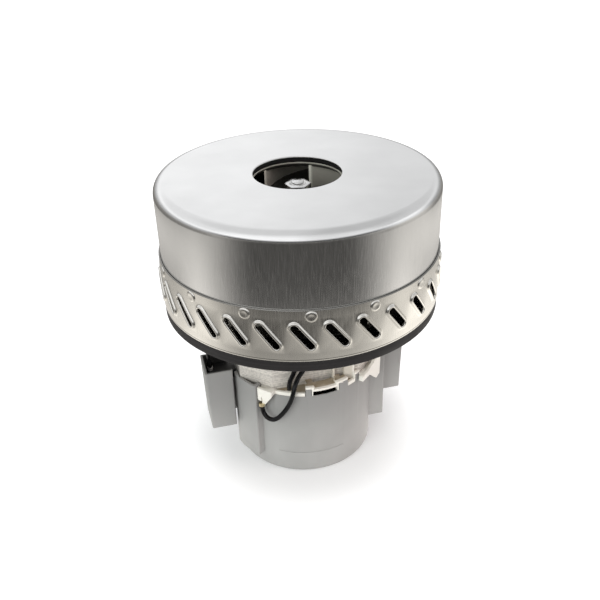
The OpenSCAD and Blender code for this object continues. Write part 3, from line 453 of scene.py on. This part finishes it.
def laminated_metal(rgba):
    """A stack of stamped sheets: thin level lines, each sheet a little different, and dull speckles."""

    def build(paint):
        layers = paint.noise(1500.0, detail=1.0, stretch=(0.004, 0.004, 1.0))
        speckle = paint.noise(900.0, detail=5.0)
        cloud = paint.noise(60.0, detail=2.0)
        tone = 0.45 * layers + 0.35 * speckle + 0.2 * cloud
        side = 1.0 - paint.upward().ramp(0.5, 0.9)
        return {
            "Base Color": tone.ramp(0.36, 0.62).blend(shade(rgba, 0.66), shade(rgba, 1.12)),
            "Metallic": 0.15,
            "Roughness": speckle.middle(0.42, 0.62),
            "Normal": (side * layers + 0.3 * speckle).bump(distance=0.00008, strength=0.5),
        }

    return build


def moulded_skin(paint, cloud, rough):
    """Sockets of the fine eroded skin of moulded plastic, with clouds in its roughness."""
    skin = paint.noise(2600.0, detail=4.0)
    return {
        "Roughness": (0.6 * skin + 0.4 * cloud).middle(rough - 0.06, rough + 0.08),
        "Normal": skin.bump(distance=0.00003, strength=0.5),
    }


def moulding(rgba, rough, mottle, shade_heights=None, shaded_pockets=()):
    """Moulded plastic with weak clouds in its tone.

    Painted shade darkens it towards its rim, between two heights, and its pockets are painted near-black as
    shade."""

    def build(paint):
        cloud = paint.noise(55.0)
        tone = cloud.middle().blend(shade(rgba, 1.0 - mottle), shade(rgba, 1.0 + mottle))
        # Painted shade: darker going up towards the rim, under what overhangs it.
        if shade_heights:
            tone = paint.height().ramp(*shade_heights).blend(tone, shade(rgba, 0.68))
        # Painted shade: the insides of the pockets are nearly black.
        for low, high in shaded_pockets:
            tone = paint.within(low, high).blend(tone, shade(rgba, 0.03))
        return {"Base Color": tone, **moulded_skin(paint, cloud, rough)}

    return build


def shaded_stained_moulding(rgba, shade_and_stain, rough, reach):
    """Moulded plastic with painted shade and some stain within a reach of the axis, most on its level faces.
    """

    def build(paint):
        cloud = paint.noise(160.0, detail=4.0)
        inside = 1.0 - paint.radius().ramp(reach - 0.0006, reach + 0.0004)
        # Painted shade with some stain: inside the rim, under the overhang, most on level faces.
        shade_and_stain_share = inside * paint.upward().ramp(0.6, 0.95, 0.5, 1.0) * cloud.ramp(0.2, 0.6, 0.75, 1.0)
        return {"Base Color": shade_and_stain_share.blend(rgba, shade_and_stain), **moulded_skin(paint, cloud, rough)}

    return build


def soft_rubber(rgba, shaded_above):
    """Moulded rubber: dull, with a bloom and fine level flow lines, but painted near-black as shade above a
    height.
    """

    def build(paint):
        lines = paint.noise(900.0, detail=2.0, stretch=(0.02, 0.02, 1.0))
        bloom = paint.noise(70.0, detail=4.0)
        tone = (0.5 * lines + 0.5 * bloom).middle().blend(shade(rgba, 0.75), shade(rgba, 1.5))
        # Painted shade: near-black above a height, in the inlet's hole.
        return {
            "Base Color": paint.height().ramp(shaded_above, shaded_above + 0.001).blend(tone, shade(rgba, 0.15)),
            "Roughness": bloom.middle(0.55, 0.75),
            "Normal": lines.bump(distance=0.00006, strength=0.5),
        }

    return build


def glossy_sheath(rgba):
    """Smooth insulation with handling marks."""

    def build(paint):
        smear = paint.noise(240.0)
        return {
            "Base Color": smear.middle().blend(shade(rgba, 0.7), shade(rgba, 1.5)),
            "Roughness": smear.middle(0.1, 0.18),
            "Specular IOR Level": 0.3,
            "Normal": smear.bump(distance=0.00004, strength=0.3),
        }

    return build


def builders():
    """The finishes of the record's slots, and that of the impellers' blades."""
    tint, size = colours(), sizes()
    # Heights of the painted shade lines at the pan's foot and rim.
    hem = size.pan_bottom + size.hem_height
    shade_seams = ((hem - size.seam, hem), (size.pan_top - size.seam / 4.0, size.pan_top + size.seam))
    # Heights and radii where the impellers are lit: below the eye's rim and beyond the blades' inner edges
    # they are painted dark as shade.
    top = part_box("impeller_1_shroud")[1][2]
    rim = (top - 0.0009, top - 0.0006)
    edge = (size.blade_radius, size.blade_radius + 0.0008, 1.0, 0.0)
    return {
        "cover_steel": sheet_metal(tint.cover_steel, rough=0.17, streak=0.6, spread=0.09),
        "pan_steel": sheet_metal(tint.pan_steel, rough=0.22, streak=0.4, spread=0.1, shade_seams=shade_seams),
        # The guide is painted dark, as shade inside the closed housing.
        "guide_steel": sheet_metal(shade(tint.pan_steel, 0.35), rough=0.4, streak=0.5, spread=0.15),
        "impeller_alloy": impeller_sheet(tint.alloy, Signal.height, lit_ramp=rim, painted_shade=0.06),
        "impeller_blades": impeller_sheet(tint.alloy, Signal.radius, lit_ramp=edge, painted_shade=0.8),
        "bracket_alloy": cast_metal(shade(tint.alloy, 0.8), rough=0.48),
        "machined_steel": turned_metal(tint.machined, rough=0.24),
        "stack_steel": laminated_metal(tint.stack),
        "copper": wound_copper(tint.copper),
        "brass": turned_metal(tint.brass, rough=0.3),
        "tinned_brass": cast_metal(tint.machined, rough=0.3, metallic=0.5),
        "carbon": moulding(tint.carbon, rough=0.55, mottle=0.3),
        # Painted shade on the cup: darker towards its rim, and near-black inside the terminal boxes.
        "grey_plastic": moulding(
            tint.grey_plastic, rough=0.45, mottle=0.05, shade_heights=(0.012, 0.055), shaded_pockets=SHADED_POCKETS
        ),
        # The coil frames get painted shade with some stain inside the rim of the lower frame.
        "white_plastic": shaded_stained_moulding(tint.white_plastic, tint.shade_and_stain, rough=0.42, reach=size.rim_inside),
        "black_plastic": moulding(tint.black_plastic, rough=0.42, mottle=0.25),
        # The rubber is painted near-black as shade above the pan's top, in the inlet.
        "black_rubber": soft_rubber(tint.rubber, shaded_above=size.pan_top),
        "lead_sheath": glossy_sheath(tint.sheath),
    }


def finish_of(slot):
    """A slot's material, made on first use."""
    name = f"{slot}_finish"
    material = bpy.data.materials.get(name)
    if not material:
        material = bpy.data.materials.new(name)
        paint = emptied(material)
        surface = paint.node("ShaderNodeBsdfPrincipled", {}, builders()[slot](paint))
        paint.node("ShaderNodeOutputMaterial", {}, {"Surface": surface})
    return material


# Shapes


def linked(name, data):
    """A new object in the scene."""
    obj = bpy.data.objects.new(name, data)
    bpy.context.collection.objects.link(obj)
    return obj


def add_piece(name, data, slot, body, nodes=()):
    """A new object that rides on a body, stands for CAD nodes and has a slot's finish."""
    obj = linked(name, data)
    data.materials.append(finish_of(slot))
    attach(obj, body)
    if nodes:
        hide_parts(*nodes)
    return obj


def smooth(mesh, degrees=35.0):
    """Smooth shading, except over edges sharper than an angle."""
    mesh.shade_smooth()
    mesh.set_sharp_from_angle(angle=math.radians(degrees))
    return mesh


def add_shape(name, vertices, faces, slot, nodes=()):
    """A smooth piece of the housing, of vertices and faces, welded and with its normals outward."""
    mesh = bpy.data.meshes.new(name)
    mesh.from_pydata(vertices, [], faces)
    work = bmesh.new()
    work.from_mesh(mesh)
    bmesh.ops.remove_doubles(work, verts=work.verts, dist=NEW_WELD)
    bmesh.ops.recalc_face_normals(work, faces=work.faces)
    work.to_mesh(mesh)
    work.free()
    return add_piece(name, smooth(mesh), slot, "housing", nodes)


def on_bearing(radius, bearing, height):
    """A point at a radius and height, on a bearing counted from the front towards the right."""
    return (radius * math.sin(bearing), -radius * math.cos(bearing), height)


def revolve(section, steps, first=0.0, closed=True):
    """Vertices and faces of a section of (radius, height) points turned about the axis."""
    count = len(section)
    vertices = [
        on_bearing(r, first + 2.0 * math.pi * k / steps, z) for k in range(steps) for r, z in section
    ]
    spans = range(count if closed else count - 1)
    faces = [
        (k * count + i, n * count + i, n * count + (i + 1) % count, k * count + (i + 1) % count)
        for k, n in ((k, (k + 1) % steps) for k in range(steps))
        for i in spans
    ]
    return vertices, faces


def arc(centre, radius, start, end, steps):
    """Points of an arc of a section, with its angles in degrees from outward, upward."""
    turns = [math.radians(start + (end - start) * i / steps) for i in range(steps + 1)]
    return [(centre[0] + radius * math.cos(t), centre[1] + radius * math.sin(t)) for t in turns]


def rounded_section(corners, radius, steps=3):
    """A closed section with each of its square corners rounded."""
    points = []
    for i, here in enumerate(corners):
        here = Vector(here)
        back = (Vector(corners[i - 1]) - here).normalized()
        on = (Vector(corners[(i + 1) % len(corners)]) - here).normalized()
        for t in (k / steps for k in range(steps + 1)):
            points.append(tuple(here + radius * (back * (1.0 - t) ** 2 + on * t**2)))
    return points


def sharp_edges(work):
    """Edges whose faces meet at more than an angle."""
    limit = math.radians(EDGE_ANGLE)
    return [e for e in work.edges if len(e.link_faces) == 2 and e.calc_face_angle(0.0) > limit]


def round_edges(work, edges, width, segments):
    """Rounds edges of a mesh."""
    bmesh.ops.bevel(
        work, geom=edges, offset=width, offset_type="OFFSET", segments=segments, profile=0.5, affect="EDGES",
        clamp_overlap=True, loop_slide=True, harden_normals=False,
    )


def soften_node(node, slot, width, body="housing", segments=2, wide=None):
    """A copy of a CAD node that stands for it, with its flats merged and its edges rounded.

    Wide is a test and the rounding of the edges that pass it."""
    work = bmesh.new()
    work.from_mesh(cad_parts[node].data)
    bmesh.ops.remove_doubles(work, verts=work.verts, dist=NODE_WELD)
    flat = math.radians(FLAT_ANGLE)
    bmesh.ops.dissolve_limit(work, angle_limit=flat, verts=work.verts, edges=work.edges)
    if wide:
        test, wide_width = wide
        for edge in [e for e in sharp_edges(work) if test(e)]:
            round_edges(work, [edge], wide_width, WIDE_STEPS)
    round_edges(work, sharp_edges(work), width, segments)
    mesh = bpy.data.meshes.new(f"{node}_soft")
    work.to_mesh(mesh)
    work.free()
    return add_piece(f"{node}_soft", smooth(mesh), slot, body, (node,))


def paint_nodes(slot, *nodes):
    """Gives CAD nodes a slot's finish."""
    for node in nodes:
        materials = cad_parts[node].data.materials
        materials.clear()
        materials.append(finish_of(slot))


def spline_points(points, steps):
    """More points on the curve that runs smoothly through the given ones."""
    given = [Vector(p) for p in points]
    ends = [given[0], *given, given[-1]]
    dense = []
    for a, b, c, d in zip(ends, ends[1:], ends[2:], ends[3:]):
        square, cube = 2 * a - 5 * b + 4 * c - d, 3 * b - a - 3 * c + d
        for t in (k / steps for k in range(steps)):
            dense.append(0.5 * (2 * b + (c - a) * t + square * t**2 + cube * t**3))
    return [*dense, given[-1]]


def eased(points):
    """The same points with their kinks taken out, except at the ends."""
    inner = zip(points[1:], points[2:], points[3:])
    return [*points[:2], *(0.25 * a + 0.5 * b + 0.25 * c for a, b, c in inner), points[-1]]


def path_length(points):
    """Length of the way through the points."""
    return sum((b - a).length for a, b in zip(points, points[1:]))


# Operators


class MOTOR_OT_stage(bpy.types.Operator):
    """Camera, floor, lamps and surroundings"""

    bl_idname = "motor.stage"
    bl_label = "Stage"

    def execute(self, context):
        self.camera(context)
        self.floor()
        self.lamps()
        self.surroundings(context)
        context.scene.view_settings.view_transform = "Standard"
        return {"FINISHED"}

    def camera(self, context):
        """The camera, looking down on the front."""
        data = bpy.data.cameras.new("camera")
        data.lens = CAMERA_LENS
        data.shift_x, data.shift_y = CAMERA_SHIFT
        data.clip_start = CAMERA_CLIP
        ahead = (CAMERA_TARGET - CAMERA_PLACE).normalized()
        right = ahead.cross(Vector((0.0, 0.0, 1.0))).normalized()
        up = right.cross(ahead)
        across = math.cos(CAMERA_ROLL) * right + math.sin(CAMERA_ROLL) * up
        above = math.cos(CAMERA_ROLL) * up - math.sin(CAMERA_ROLL) * right
        turned = Matrix((across, above, -ahead)).transposed().to_4x4()
        obj = linked("camera", data)
        obj.matrix_world = Matrix.Translation(CAMERA_PLACE) @ turned
        context.scene.camera = obj

    def floor(self):
        """A pale floor, white to the camera except for shadows, and a darker room in reflections."""
        signs = ((-1, -1), (1, -1), (1, 1), (-1, 1))
        corners = [(x * FLOOR_HALF, y * FLOOR_HALF, 0.0) for x, y in signs]
        mesh = bpy.data.meshes.new("floor")
        mesh.from_pydata(corners, [], [(0, 1, 2, 3)])
        material = bpy.data.materials.new("floor")
        paint = emptied(material)
        tint = colours().floor
        pale = paint.noise(30.0, detail=2.0).middle().blend(shade(tint, 0.99), shade(tint, 1.01))
        matt = paint.node("ShaderNodeBsdfDiffuse", {}, {"Color": pale})
        where = paint.node("ShaderNodeNewGeometry", output="Position")
        reach = paint.vector("LENGTH", where, output="Value")
        lift = paint.emission(paint.ray("Is Camera Ray") * reach.ramp(0.04, 0.09, 0.2, 0.62))
        seen = paint.node("ShaderNodeAddShader", {}, {0: matt, 1: lift})
        glow = paint.emission(self.floor_glow(paint.vector("NORMALIZE", where), reach), FLOOR_GLOW)
        surface = paint.node("ShaderNodeMixShader", {}, {0: paint.ray("Is Glossy Ray"), 1: seen, 2: glow})
        paint.node("ShaderNodeOutputMaterial", {}, {"Surface": surface})
        mesh.materials.append(material)
        linked("floor", mesh)

    def floor_glow(self, way, reach):
        """Brightness of the floor in reflections, by the way there from the object and its distance."""
        ahead, aside = way.compass()
        # A pale patch round the object, strongest on the right.
        near = reach.ramp(0.18, 0.28, 0.42, 0.0) * aside.ramp(-0.9, 0.2, 1.6, 1.0)
        # A room that is dark towards the camera, a little uneven at its sides and close by.
        side = ahead.ramp(-0.3, 0.2, 1.0, 0.0) * aside.ramp(-0.8, 0.8, 0.06, -0.12)
        close = reach.ramp(0.26, 0.34, 1.0, 0.0) * ahead.ramp(-0.3, 0.3, -0.25, 0.2)
        room = ahead.ramp(0.15, 0.88, 0.66, 0.065) * (1.0 + side + close)
        # Its dark skirting, except in front and at the far right, and a faint glow beyond.
        beyond = reach.ramp(0.365, 0.44) * ahead.ramp(0.25, 0.65, 1.0, 0.0)
        skirting = 1.0 - beyond * aside.ramp(-1.0, -0.85, 0.25, 0.7)
        far = reach.ramp(0.5, 1.5, 0.0, 0.09)
        return near + room * skirting + far

    def lamps(self):
        """A broad soft key from the front left, a weaker fill from the right and a weak lamp overhead."""
        for name, place, size, power, tint in LAMPS:
            data = bpy.data.lights.new(name, "AREA")
            data.shape = "DISK"
            data.size = size
            data.energy = power
            data.color = tint
            obj = linked(name, data)
            obj.visible_glossy = False
            obj.location = place
            obj.rotation_euler = (LAMP_AIM - Vector(place)).to_track_quat("-Z", "Y").to_euler()

    def surroundings(self, context):
        """Pale surroundings, white to the camera, with a dark room on the front side in reflections."""
        world = bpy.data.worlds.new("surroundings")
        paint = emptied(world)
        towards = paint.node("ShaderNodeTexCoord", output="Generated")
        ahead, aside = towards.compass()
        height = towards.axis("Z")
        dark = ahead.ramp(0.15, 0.75) * (1.0 - height.ramp(0.0, 0.4))
        level = SKY_LEVEL - SKY_DARK * dark
        # In reflections: walls, a dimmer ceiling that is brighter in front, and the dark skirting.
        walls = height.ramp(0.3, 0.46, 1.15, 0.86) - height.ramp(0.6, 0.85, 0.0, 0.14)
        above = walls + ahead.ramp(0.2, 0.6, 0.0, 0.24)
        skirting = height.ramp(0.05, 0.35, 0.4, 1.0) + aside.ramp(-1.0, -0.85, 0.5, 0.0)
        mirrored = aside.ramp(-0.2, 0.12, 0.72, 0.95) * above * skirting * (1.0 - 0.95 * dark)
        shown = level + paint.ray("Is Glossy Ray") * (mirrored - level)
        strength = shown + paint.ray("Is Camera Ray") * (SKY_SEEN - shown)
        surface = paint.node("ShaderNodeBackground", {}, {"Color": SKY_TINT, "Strength": strength})
        paint.node("ShaderNodeOutputWorld", {}, {"Surface": surface})
        context.scene.world = world


class MOTOR_OT_leads(bpy.types.Operator):
    """The three insulated leads, as smooth cords"""

    bl_idname = "motor.leads"
    bl_label = "Leads"

    # Knots for each given point, and steps round a quarter of the lead and between knots.
    knots = 2
    round_steps = 5
    knot_steps = 6

    def execute(self, context):
        self.lead("field_lead", FIELD_LEAD, "lead_ferrule")
        self.lead("coil_lead", COIL_LEAD)
        self.lead("supply_lead", SUPPLY_LEAD, "lead_crimp")
        return {"FINISHED"}

    def lead(self, node, points, *ends):
        """One lead: a round curve through the points of its route."""
        way = eased(spline_points(points, self.knots))
        data = bpy.data.curves.new(f"{node}_cord", "CURVE")
        data.dimensions = "3D"
        data.bevel_depth = sizes().lead_diameter / 2.0
        data.bevel_resolution = self.round_steps
        data.resolution_u = self.knot_steps
        data.use_fill_caps = True
        spline = data.splines.new("BEZIER")
        spline.bezier_points.add(len(way) - 1)
        for i, knot in enumerate(spline.bezier_points):
            # A handle is a third of half the way between the neighbours.
            reach = (way[min(i + 1, len(way) - 1)] - way[max(i - 1, 0)]) / 6.0
            knot.co = way[i]
            knot.handle_left_type = knot.handle_right_type = "FREE"
            knot.handle_left = way[i] - reach
            knot.handle_right = way[i] + reach
        obj = add_piece(f"{node}_cord", data, "lead_sheath", "housing", (node,))
        path_length(way)


class MOTOR_OT_fan_cover(bpy.types.Operator):
    """The fan cover, with its rounded edge and turned inlet"""

    bl_idname = "motor.fan_cover"
    bl_label = "Fan cover"

    # Steps round the axis, over the shoulder's outside, and over its inside and the inlet's lip.
    around = 240
    shoulder_steps = 12
    inner_steps = 8

    def execute(self, context):
        size = sizes()
        outer, sheet, bend = size.cover_radius, size.sheet, size.cover_round
        corner = (outer - bend, size.cover_top - bend)
        lip = (size.inlet_radius + sheet / 2.0, size.cover_top - sheet / 2.0)
        # Loops of points near the bends keep the shading of the flats even.
        near = bend / 12.0
        section = [
            (outer, size.cover_bottom),
            (outer, corner[1] - 4.0 * near),
            (outer, corner[1] - near),
            *arc(corner, bend, 0.0, 90.0, self.shoulder_steps),
            (corner[0] - near, size.cover_top),
            (corner[0] - 4.0 * near, size.cover_top),
            (lip[0] + near, size.cover_top),
            *arc(lip, sheet / 2.0, 90.0, 270.0, self.inner_steps),
            (lip[0] + near, size.cover_top - sheet),
            (corner[0] - near, size.cover_top - sheet),
            *arc(corner, bend - sheet, 90.0, 0.0, self.inner_steps),
            (outer - sheet, corner[1] - near),
            (outer - sheet, size.cover_bottom),
        ]
        add_shape("fan_cover_drawn", *revolve(section, self.around), "cover_steel", ("fan_cover",))
        return {"FINISHED"}


class MOTOR_OT_vent_pan(bpy.types.Operator):
    """The vent pan, with pressed lips round its vents and clinched buttons"""

    bl_idname = "motor.vent_pan"
    bl_label = "Vent pan"

    # Steps along a quarter of a vent's round end, its straight side, and the top and side of its share of the
    # wall, then over a rounded edge and round a button.
    cap_steps = 6
    side_steps = 16
    top_steps = 12
    edge_steps = 16
    round_steps = 4
    button_steps = 28
    # The lip's section: shares of its width out from the vent's edge, and shares of its height.
    lip = (
        (1.7, 0.0), (1.5, 0.04), (1.3, 0.2), (1.1, 0.5), (0.9, 0.8), (0.68, 0.96), (0.46, 1.0),
        (0.26, 0.95), (0.1, 0.8), (0.0, 0.55), (0.0, 0.0), (0.0, -0.4), (0.2, -0.8),
    )
    # Half-height of the part of the wall that the vents are pressed in.
    band = 0.0092
    # A button's section: shares of its radius and of its height.
    button = ((0.0, 0.75), (0.25, 0.78), (0.45, 0.92), (0.62, 1.0), (0.78, 0.85), (0.92, 0.4), (1.0, -0.3))

    def execute(self, context):
        size = sizes()
        vertices, faces = [], []
        pitch = 2.0 * math.pi / size.vent_count
        for i in range(size.vent_count):
            self.share(size, size.vent_first + i * pitch, pitch, vertices, faces)
        columns = size.vent_count * self.top_steps
        for section in (self.rim(size), self.foot(size)):
            self.join(revolve(section, columns, size.vent_first - pitch / 2.0, closed=False), vertices, faces)
        add_shape("vent_pan_pressed", vertices, faces, "pan_steel", ("vent_pan",))
        self.buttons(size)
        return {"FINISHED"}

    def join(self, shape, vertices, faces):
        """Adds a shape's vertices and faces to those made so far."""
        start = len(vertices)
        vertices.extend(shape[0])
        faces.extend(tuple(start + i for i in face) for face in shape[1])

    def outline(self, size, grow):
        """A vent's outline, grown, clockwise from its upper tip, as (along, up) from its centre."""
        along = Vector((-math.sin(size.vent_slant), math.cos(size.vent_slant)))
        across = Vector((along.y, -along.x))
        half = (size.vent_length - size.vent_width) / 2.0
        radius = size.vent_width / 2.0 + grow
        turns = [math.pi / 2.0 * k / self.cap_steps for k in range(self.cap_steps)]
        points = [along * (half + radius * math.cos(t)) + across * radius * math.sin(t) for t in turns]
        for k in range(self.side_steps):
            points.append(along * half * (1.0 - 2.0 * k / self.side_steps) + across * radius)
        points += [across * radius * math.cos(t) - along * (half + radius * math.sin(t)) for t in turns]
        return points + [-p for p in points]

    def frame_outline(self, size, pitch):
        """The outline of a vent's share of the wall, clockwise from its upper left corner."""
        half = size.pan_radius * pitch / 2.0
        top = [Vector((half * (2.0 * k / self.top_steps - 1.0), self.band)) for k in range(self.top_steps)]
        side = [Vector((half, self.band * (1.0 - 2.0 * k / self.edge_steps))) for k in range(self.edge_steps)]
        return top + side + [-p for p in top + side]

    def share(self, size, bearing, pitch, vertices, faces):
        """One vent's share of the wall: rings from outside, over the lip, through the vent and inside."""
        rings = [(self.frame_outline(size, pitch), 0.0)]
        for share, rise in self.lip:
            depth = rise * (size.lip_height if rise > 0.0 else size.sheet)
            rings.append((self.outline(size, share * size.lip_width), depth))
        rings.append((self.frame_outline(size, pitch), -size.sheet))
        start, count = len(vertices), len(rings[0][0])
        for outline, out in rings:
            for p in outline:
                vertices.append(
                    on_bearing(size.pan_radius + out, bearing + p.x / size.pan_radius, size.vent_height + p.y)
                )
        for ring in range(len(rings) - 1):
            for k in range(count):
                a, b = start + ring * count, start + (ring + 1) * count
                faces.append((a + k, a + (k + 1) % count, b + (k + 1) % count, b + k))

    def rim(self, size):
        """Section of the wall above the vents, over its edge and down the inside."""
        outer, inner, top = size.pan_radius, size.pan_radius - size.sheet, size.pan_top
        edge = size.sheet / 5.0
        level = size.vent_height + self.band
        return [
            (outer, level),
            (outer, top - 2.0 * edge),
            *arc((outer - edge, top - edge), edge, 0.0, 90.0, self.round_steps),
            (inner, top),
            (inner, level),
        ]

    def foot(self, size):
        """Section of the wall below the vents, round its foot, under the floor and up the inside."""
        outer, inner, base = size.pan_radius, size.pan_radius - size.sheet, size.pan_bottom
        hem, edge = size.hem_height, size.sheet / 2.0
        level = size.vent_height - self.band
        return [
            (outer, level),
            (outer, base + 2.0 * edge),
            *arc((outer - edge, base + edge), edge, 0.0, -90.0, self.round_steps),
            (inner - hem, base),
            (size.pan_hole, base),
            (size.pan_hole, base + size.sheet),
            (inner - hem, base + size.sheet),
            (inner - 0.3 * hem, base + 1.3 * size.sheet),
            (inner, base + 2.0 * size.sheet),
            (inner, level),
        ]

    def buttons(self, size):
        """The clinched buttons near the rim."""
        vertices, faces = [], []
        section = [(share * size.clinch_radius, rise * size.clinch_out) for share, rise in self.button]
        shape = revolve(section, self.button_steps, closed=False)
        for i in range(size.clinch_count):
            bearing = size.clinch_first + 2.0 * math.pi * i / size.clinch_count
            placed = [
                on_bearing(size.pan_radius + z, bearing + x / size.pan_radius, size.clinch_height + y)
                for x, y, z in shape[0]
            ]
            self.join((placed, shape[1]), vertices, faces)
        add_shape("clinch_buttons", vertices, faces, "pan_steel")


class MOTOR_OT_gasket(bpy.types.Operator):
    """The rubber gasket under the vent pan, with rounded edges"""

    bl_idname = "motor.gasket"
    bl_label = "Gasket"

    # Rounding of the gasket's edges, and steps round the axis.
    rounding = 0.0006
    around = 200

    def execute(self, context):
        size = sizes()
        rib = size.gasket_radius - size.gasket_rib
        tip = rib - size.gasket_flange
        corners = [
            (size.gasket_radius, size.gasket_bottom),
            (size.gasket_radius, size.pan_bottom),
            (tip, size.pan_bottom),
            (tip, size.gasket_step),
            (rib, size.gasket_step),
            (rib, size.gasket_bottom),
        ]
        shape = revolve(rounded_section(corners, self.rounding), self.around)
        add_shape("flange_gasket_soft", *shape, "black_rubber", ("flange_gasket",))
        paint_nodes("black_rubber", "inlet_seal", "lower_bearing_sleeve")
        return {"FINISHED"}


class MOTOR_OT_impellers(bpy.types.Operator):
    """Both impellers and the guide between them"""

    bl_idname = "motor.impellers"
    bl_label = "Impellers"

    def execute(self, context):
        for stage in (1, 2):
            paint_nodes("impeller_alloy", f"impeller_{stage}_shroud", f"impeller_{stage}_disc")
            paint_nodes("impeller_blades", f"impeller_{stage}_blades")
        paint_nodes("guide_steel", "guide_top_plate", "guide_vanes", "guide_base")
        return {"FINISHED"}


class MOTOR_OT_shaft(bpy.types.Operator):
    """The shaft, what is stacked on it, and the bearings"""

    bl_idname = "motor.shaft"
    bl_label = "Shaft and bearings"

    def execute(self, context):
        edge = sizes().metal_edge
        for node in ("shaft", "shaft_washer", "shaft_nut"):
            soften_node(node, "machined_steel", 2.0 * edge, "rotor")
        paint_nodes("machined_steel", "fan_spacer", "spacer_lower", "spacer_middle", "spacer_upper")
        for place in ("upper", "lower"):
            parts = [f"{place}_bearing_{part}" for part in ("outer", "inner", "balls")]
            paint_nodes("machined_steel", *parts)
        return {"FINISHED"}


class MOTOR_OT_armature(bpy.types.Operator):
    """The armature, commutator and cooling fan"""

    bl_idname = "motor.armature"
    bl_label = "Armature"

    def execute(self, context):
        paint_nodes("stack_steel", "armature_core")
        paint_nodes("copper", "armature_winding", "commutator")
        paint_nodes("black_plastic", "cooling_fan")
        return {"FINISHED"}


class MOTOR_OT_stator(bpy.types.Operator):
    """The stator stack, its coils, and the bracket and fastenings above it"""

    bl_idname = "motor.stator"
    bl_label = "Stator"

    def execute(self, context):
        edge = sizes().metal_edge
        soften_node("stator_stack", "stack_steel", edge)
        soften_node("field_coils", "copper", 4.0 * edge, segments=3)
        soften_node("fan_end_bracket", "bracket_alloy", 1.5 * edge)
        paint_nodes("machined_steel", "through_bolts", "pan_screws")
        return {"FINISHED"}


class MOTOR_OT_mouldings(bpy.types.Operator):
    """The motor cup and the coil frames, with moulded edges"""

    bl_idname = "motor.mouldings"
    bl_label = "Mouldings"

    # Least length of a tall corner, and least share of it that is upright.
    tall = 0.02
    upright = 0.95

    def execute(self, context):
        size = sizes()
        edge = size.plastic_edge

        def upright_corner(e):
            """Tests whether an edge is a tall corner that stands out from the cup."""
            way = e.verts[0].co - e.verts[1].co
            outside = all(v.co.xy.length > size.cup_radius + size.corner_edge for v in e.verts)
            return outside and way.length > self.tall and abs(way.z) > self.upright * way.length

        soften_node("motor_cup", "grey_plastic", edge, wide=(upright_corner, size.corner_edge))
        soften_node("lower_coil_frame", "white_plastic", edge)
        soften_node("upper_coil_frame", "white_plastic", edge)
        return {"FINISHED"}


class MOTOR_OT_brush_gear(bpy.types.Operator):
    """Brush holders, tubes, brushes and springs"""

    bl_idname = "motor.brush_gear"
    bl_label = "Brush gear"

    def execute(self, context):
        size = sizes()
        for side, turn in (("left", 0.0), ("right", math.pi)):
            soften_node(f"brush_holder_{side}", "black_plastic", size.plastic_edge)
            soften_node(f"brush_tube_{side}", "brass", size.metal_edge)
            paint_nodes("carbon", f"carbon_brush_{side}")
            outward = Vector(on_bearing(1.0, size.brush_bearing + turn, 0.0))
            node = f"brush_spring_{side}"
            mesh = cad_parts[node].data.copy()
            mesh.materials.clear()
            smooth(mesh, degrees=60.0)
            spring = add_piece(f"{node}_coil", mesh, "machined_steel", "housing", (node,))
            seat = on_bearing(size.spring_outer, size.brush_bearing + turn, size.brush_height)
            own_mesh(spring)
        return {"FINISHED"}


class MOTOR_OT_terminals(bpy.types.Operator):
    """Terminal blocks, blades, crimp and ferrule"""

    bl_idname = "motor.terminals"
    bl_label = "Terminals"

    def execute(self, context):
        for side in ("left", "right"):
            soften_node(f"terminal_block_{side}", "black_plastic", sizes().plastic_edge)
        paint_nodes("tinned_brass", "spade_terminals", "lead_crimp")
        paint_nodes("brass", "lead_ferrule")
        return {"FINISHED"}


class MOTOR_PT_panel(bpy.types.Panel):
    """Sizes, colours and the steps of the build"""

    bl_idname = "MOTOR_PT_panel"
    bl_label = "Vacuum motor unit"
    bl_space_type = "VIEW_3D"
    bl_region_type = "UI"
    bl_category = "Motor"

    def draw(self, context):
        layout = self.layout
        for step in STEPS:
            layout.operator(step.bl_idname)
        for group in (context.scene.motor_sizes, context.scene.motor_colours):
            column = layout.column(align=True)
            for key in type(group).__annotations__:
                column.prop(group, key)


STEPS = (
    MOTOR_OT_stage,
    MOTOR_OT_leads,
    MOTOR_OT_fan_cover,
    MOTOR_OT_vent_pan,
    MOTOR_OT_gasket,
    MOTOR_OT_impellers,
    MOTOR_OT_shaft,
    MOTOR_OT_armature,
    MOTOR_OT_stator,
    MOTOR_OT_mouldings,
    MOTOR_OT_brush_gear,
    MOTOR_OT_terminals,
)
CLASSES = (MotorSizes, MotorColours, *STEPS, MOTOR_PT_panel)


def register():
    """Adds the classes and the scene's settings."""
    for cls in CLASSES:
        bpy.utils.register_class(cls)
    bpy.types.Scene.motor_sizes = PointerProperty(type=MotorSizes)
    bpy.types.Scene.motor_colours = PointerProperty(type=MotorColours)


def unregister():
    """Takes away the scene's settings and the classes."""
    del bpy.types.Scene.motor_colours
    del bpy.types.Scene.motor_sizes
    for cls in reversed(CLASSES):
        bpy.utils.unregister_class(cls)


def main():
    """Builds the looks step by step."""
    register()
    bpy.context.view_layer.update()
    bpy.ops.motor.stage()
    bpy.ops.motor.leads()
    bpy.ops.motor.fan_cover()
    bpy.ops.motor.vent_pan()
    bpy.ops.motor.gasket()
    bpy.ops.motor.impellers()
    bpy.ops.motor.shaft()
    bpy.ops.motor.armature()
    bpy.ops.motor.stator()
    bpy.ops.motor.mouldings()
    bpy.ops.motor.brush_gear()
    bpy.ops.motor.terminals()


if __name__ == "__main__":
    main()
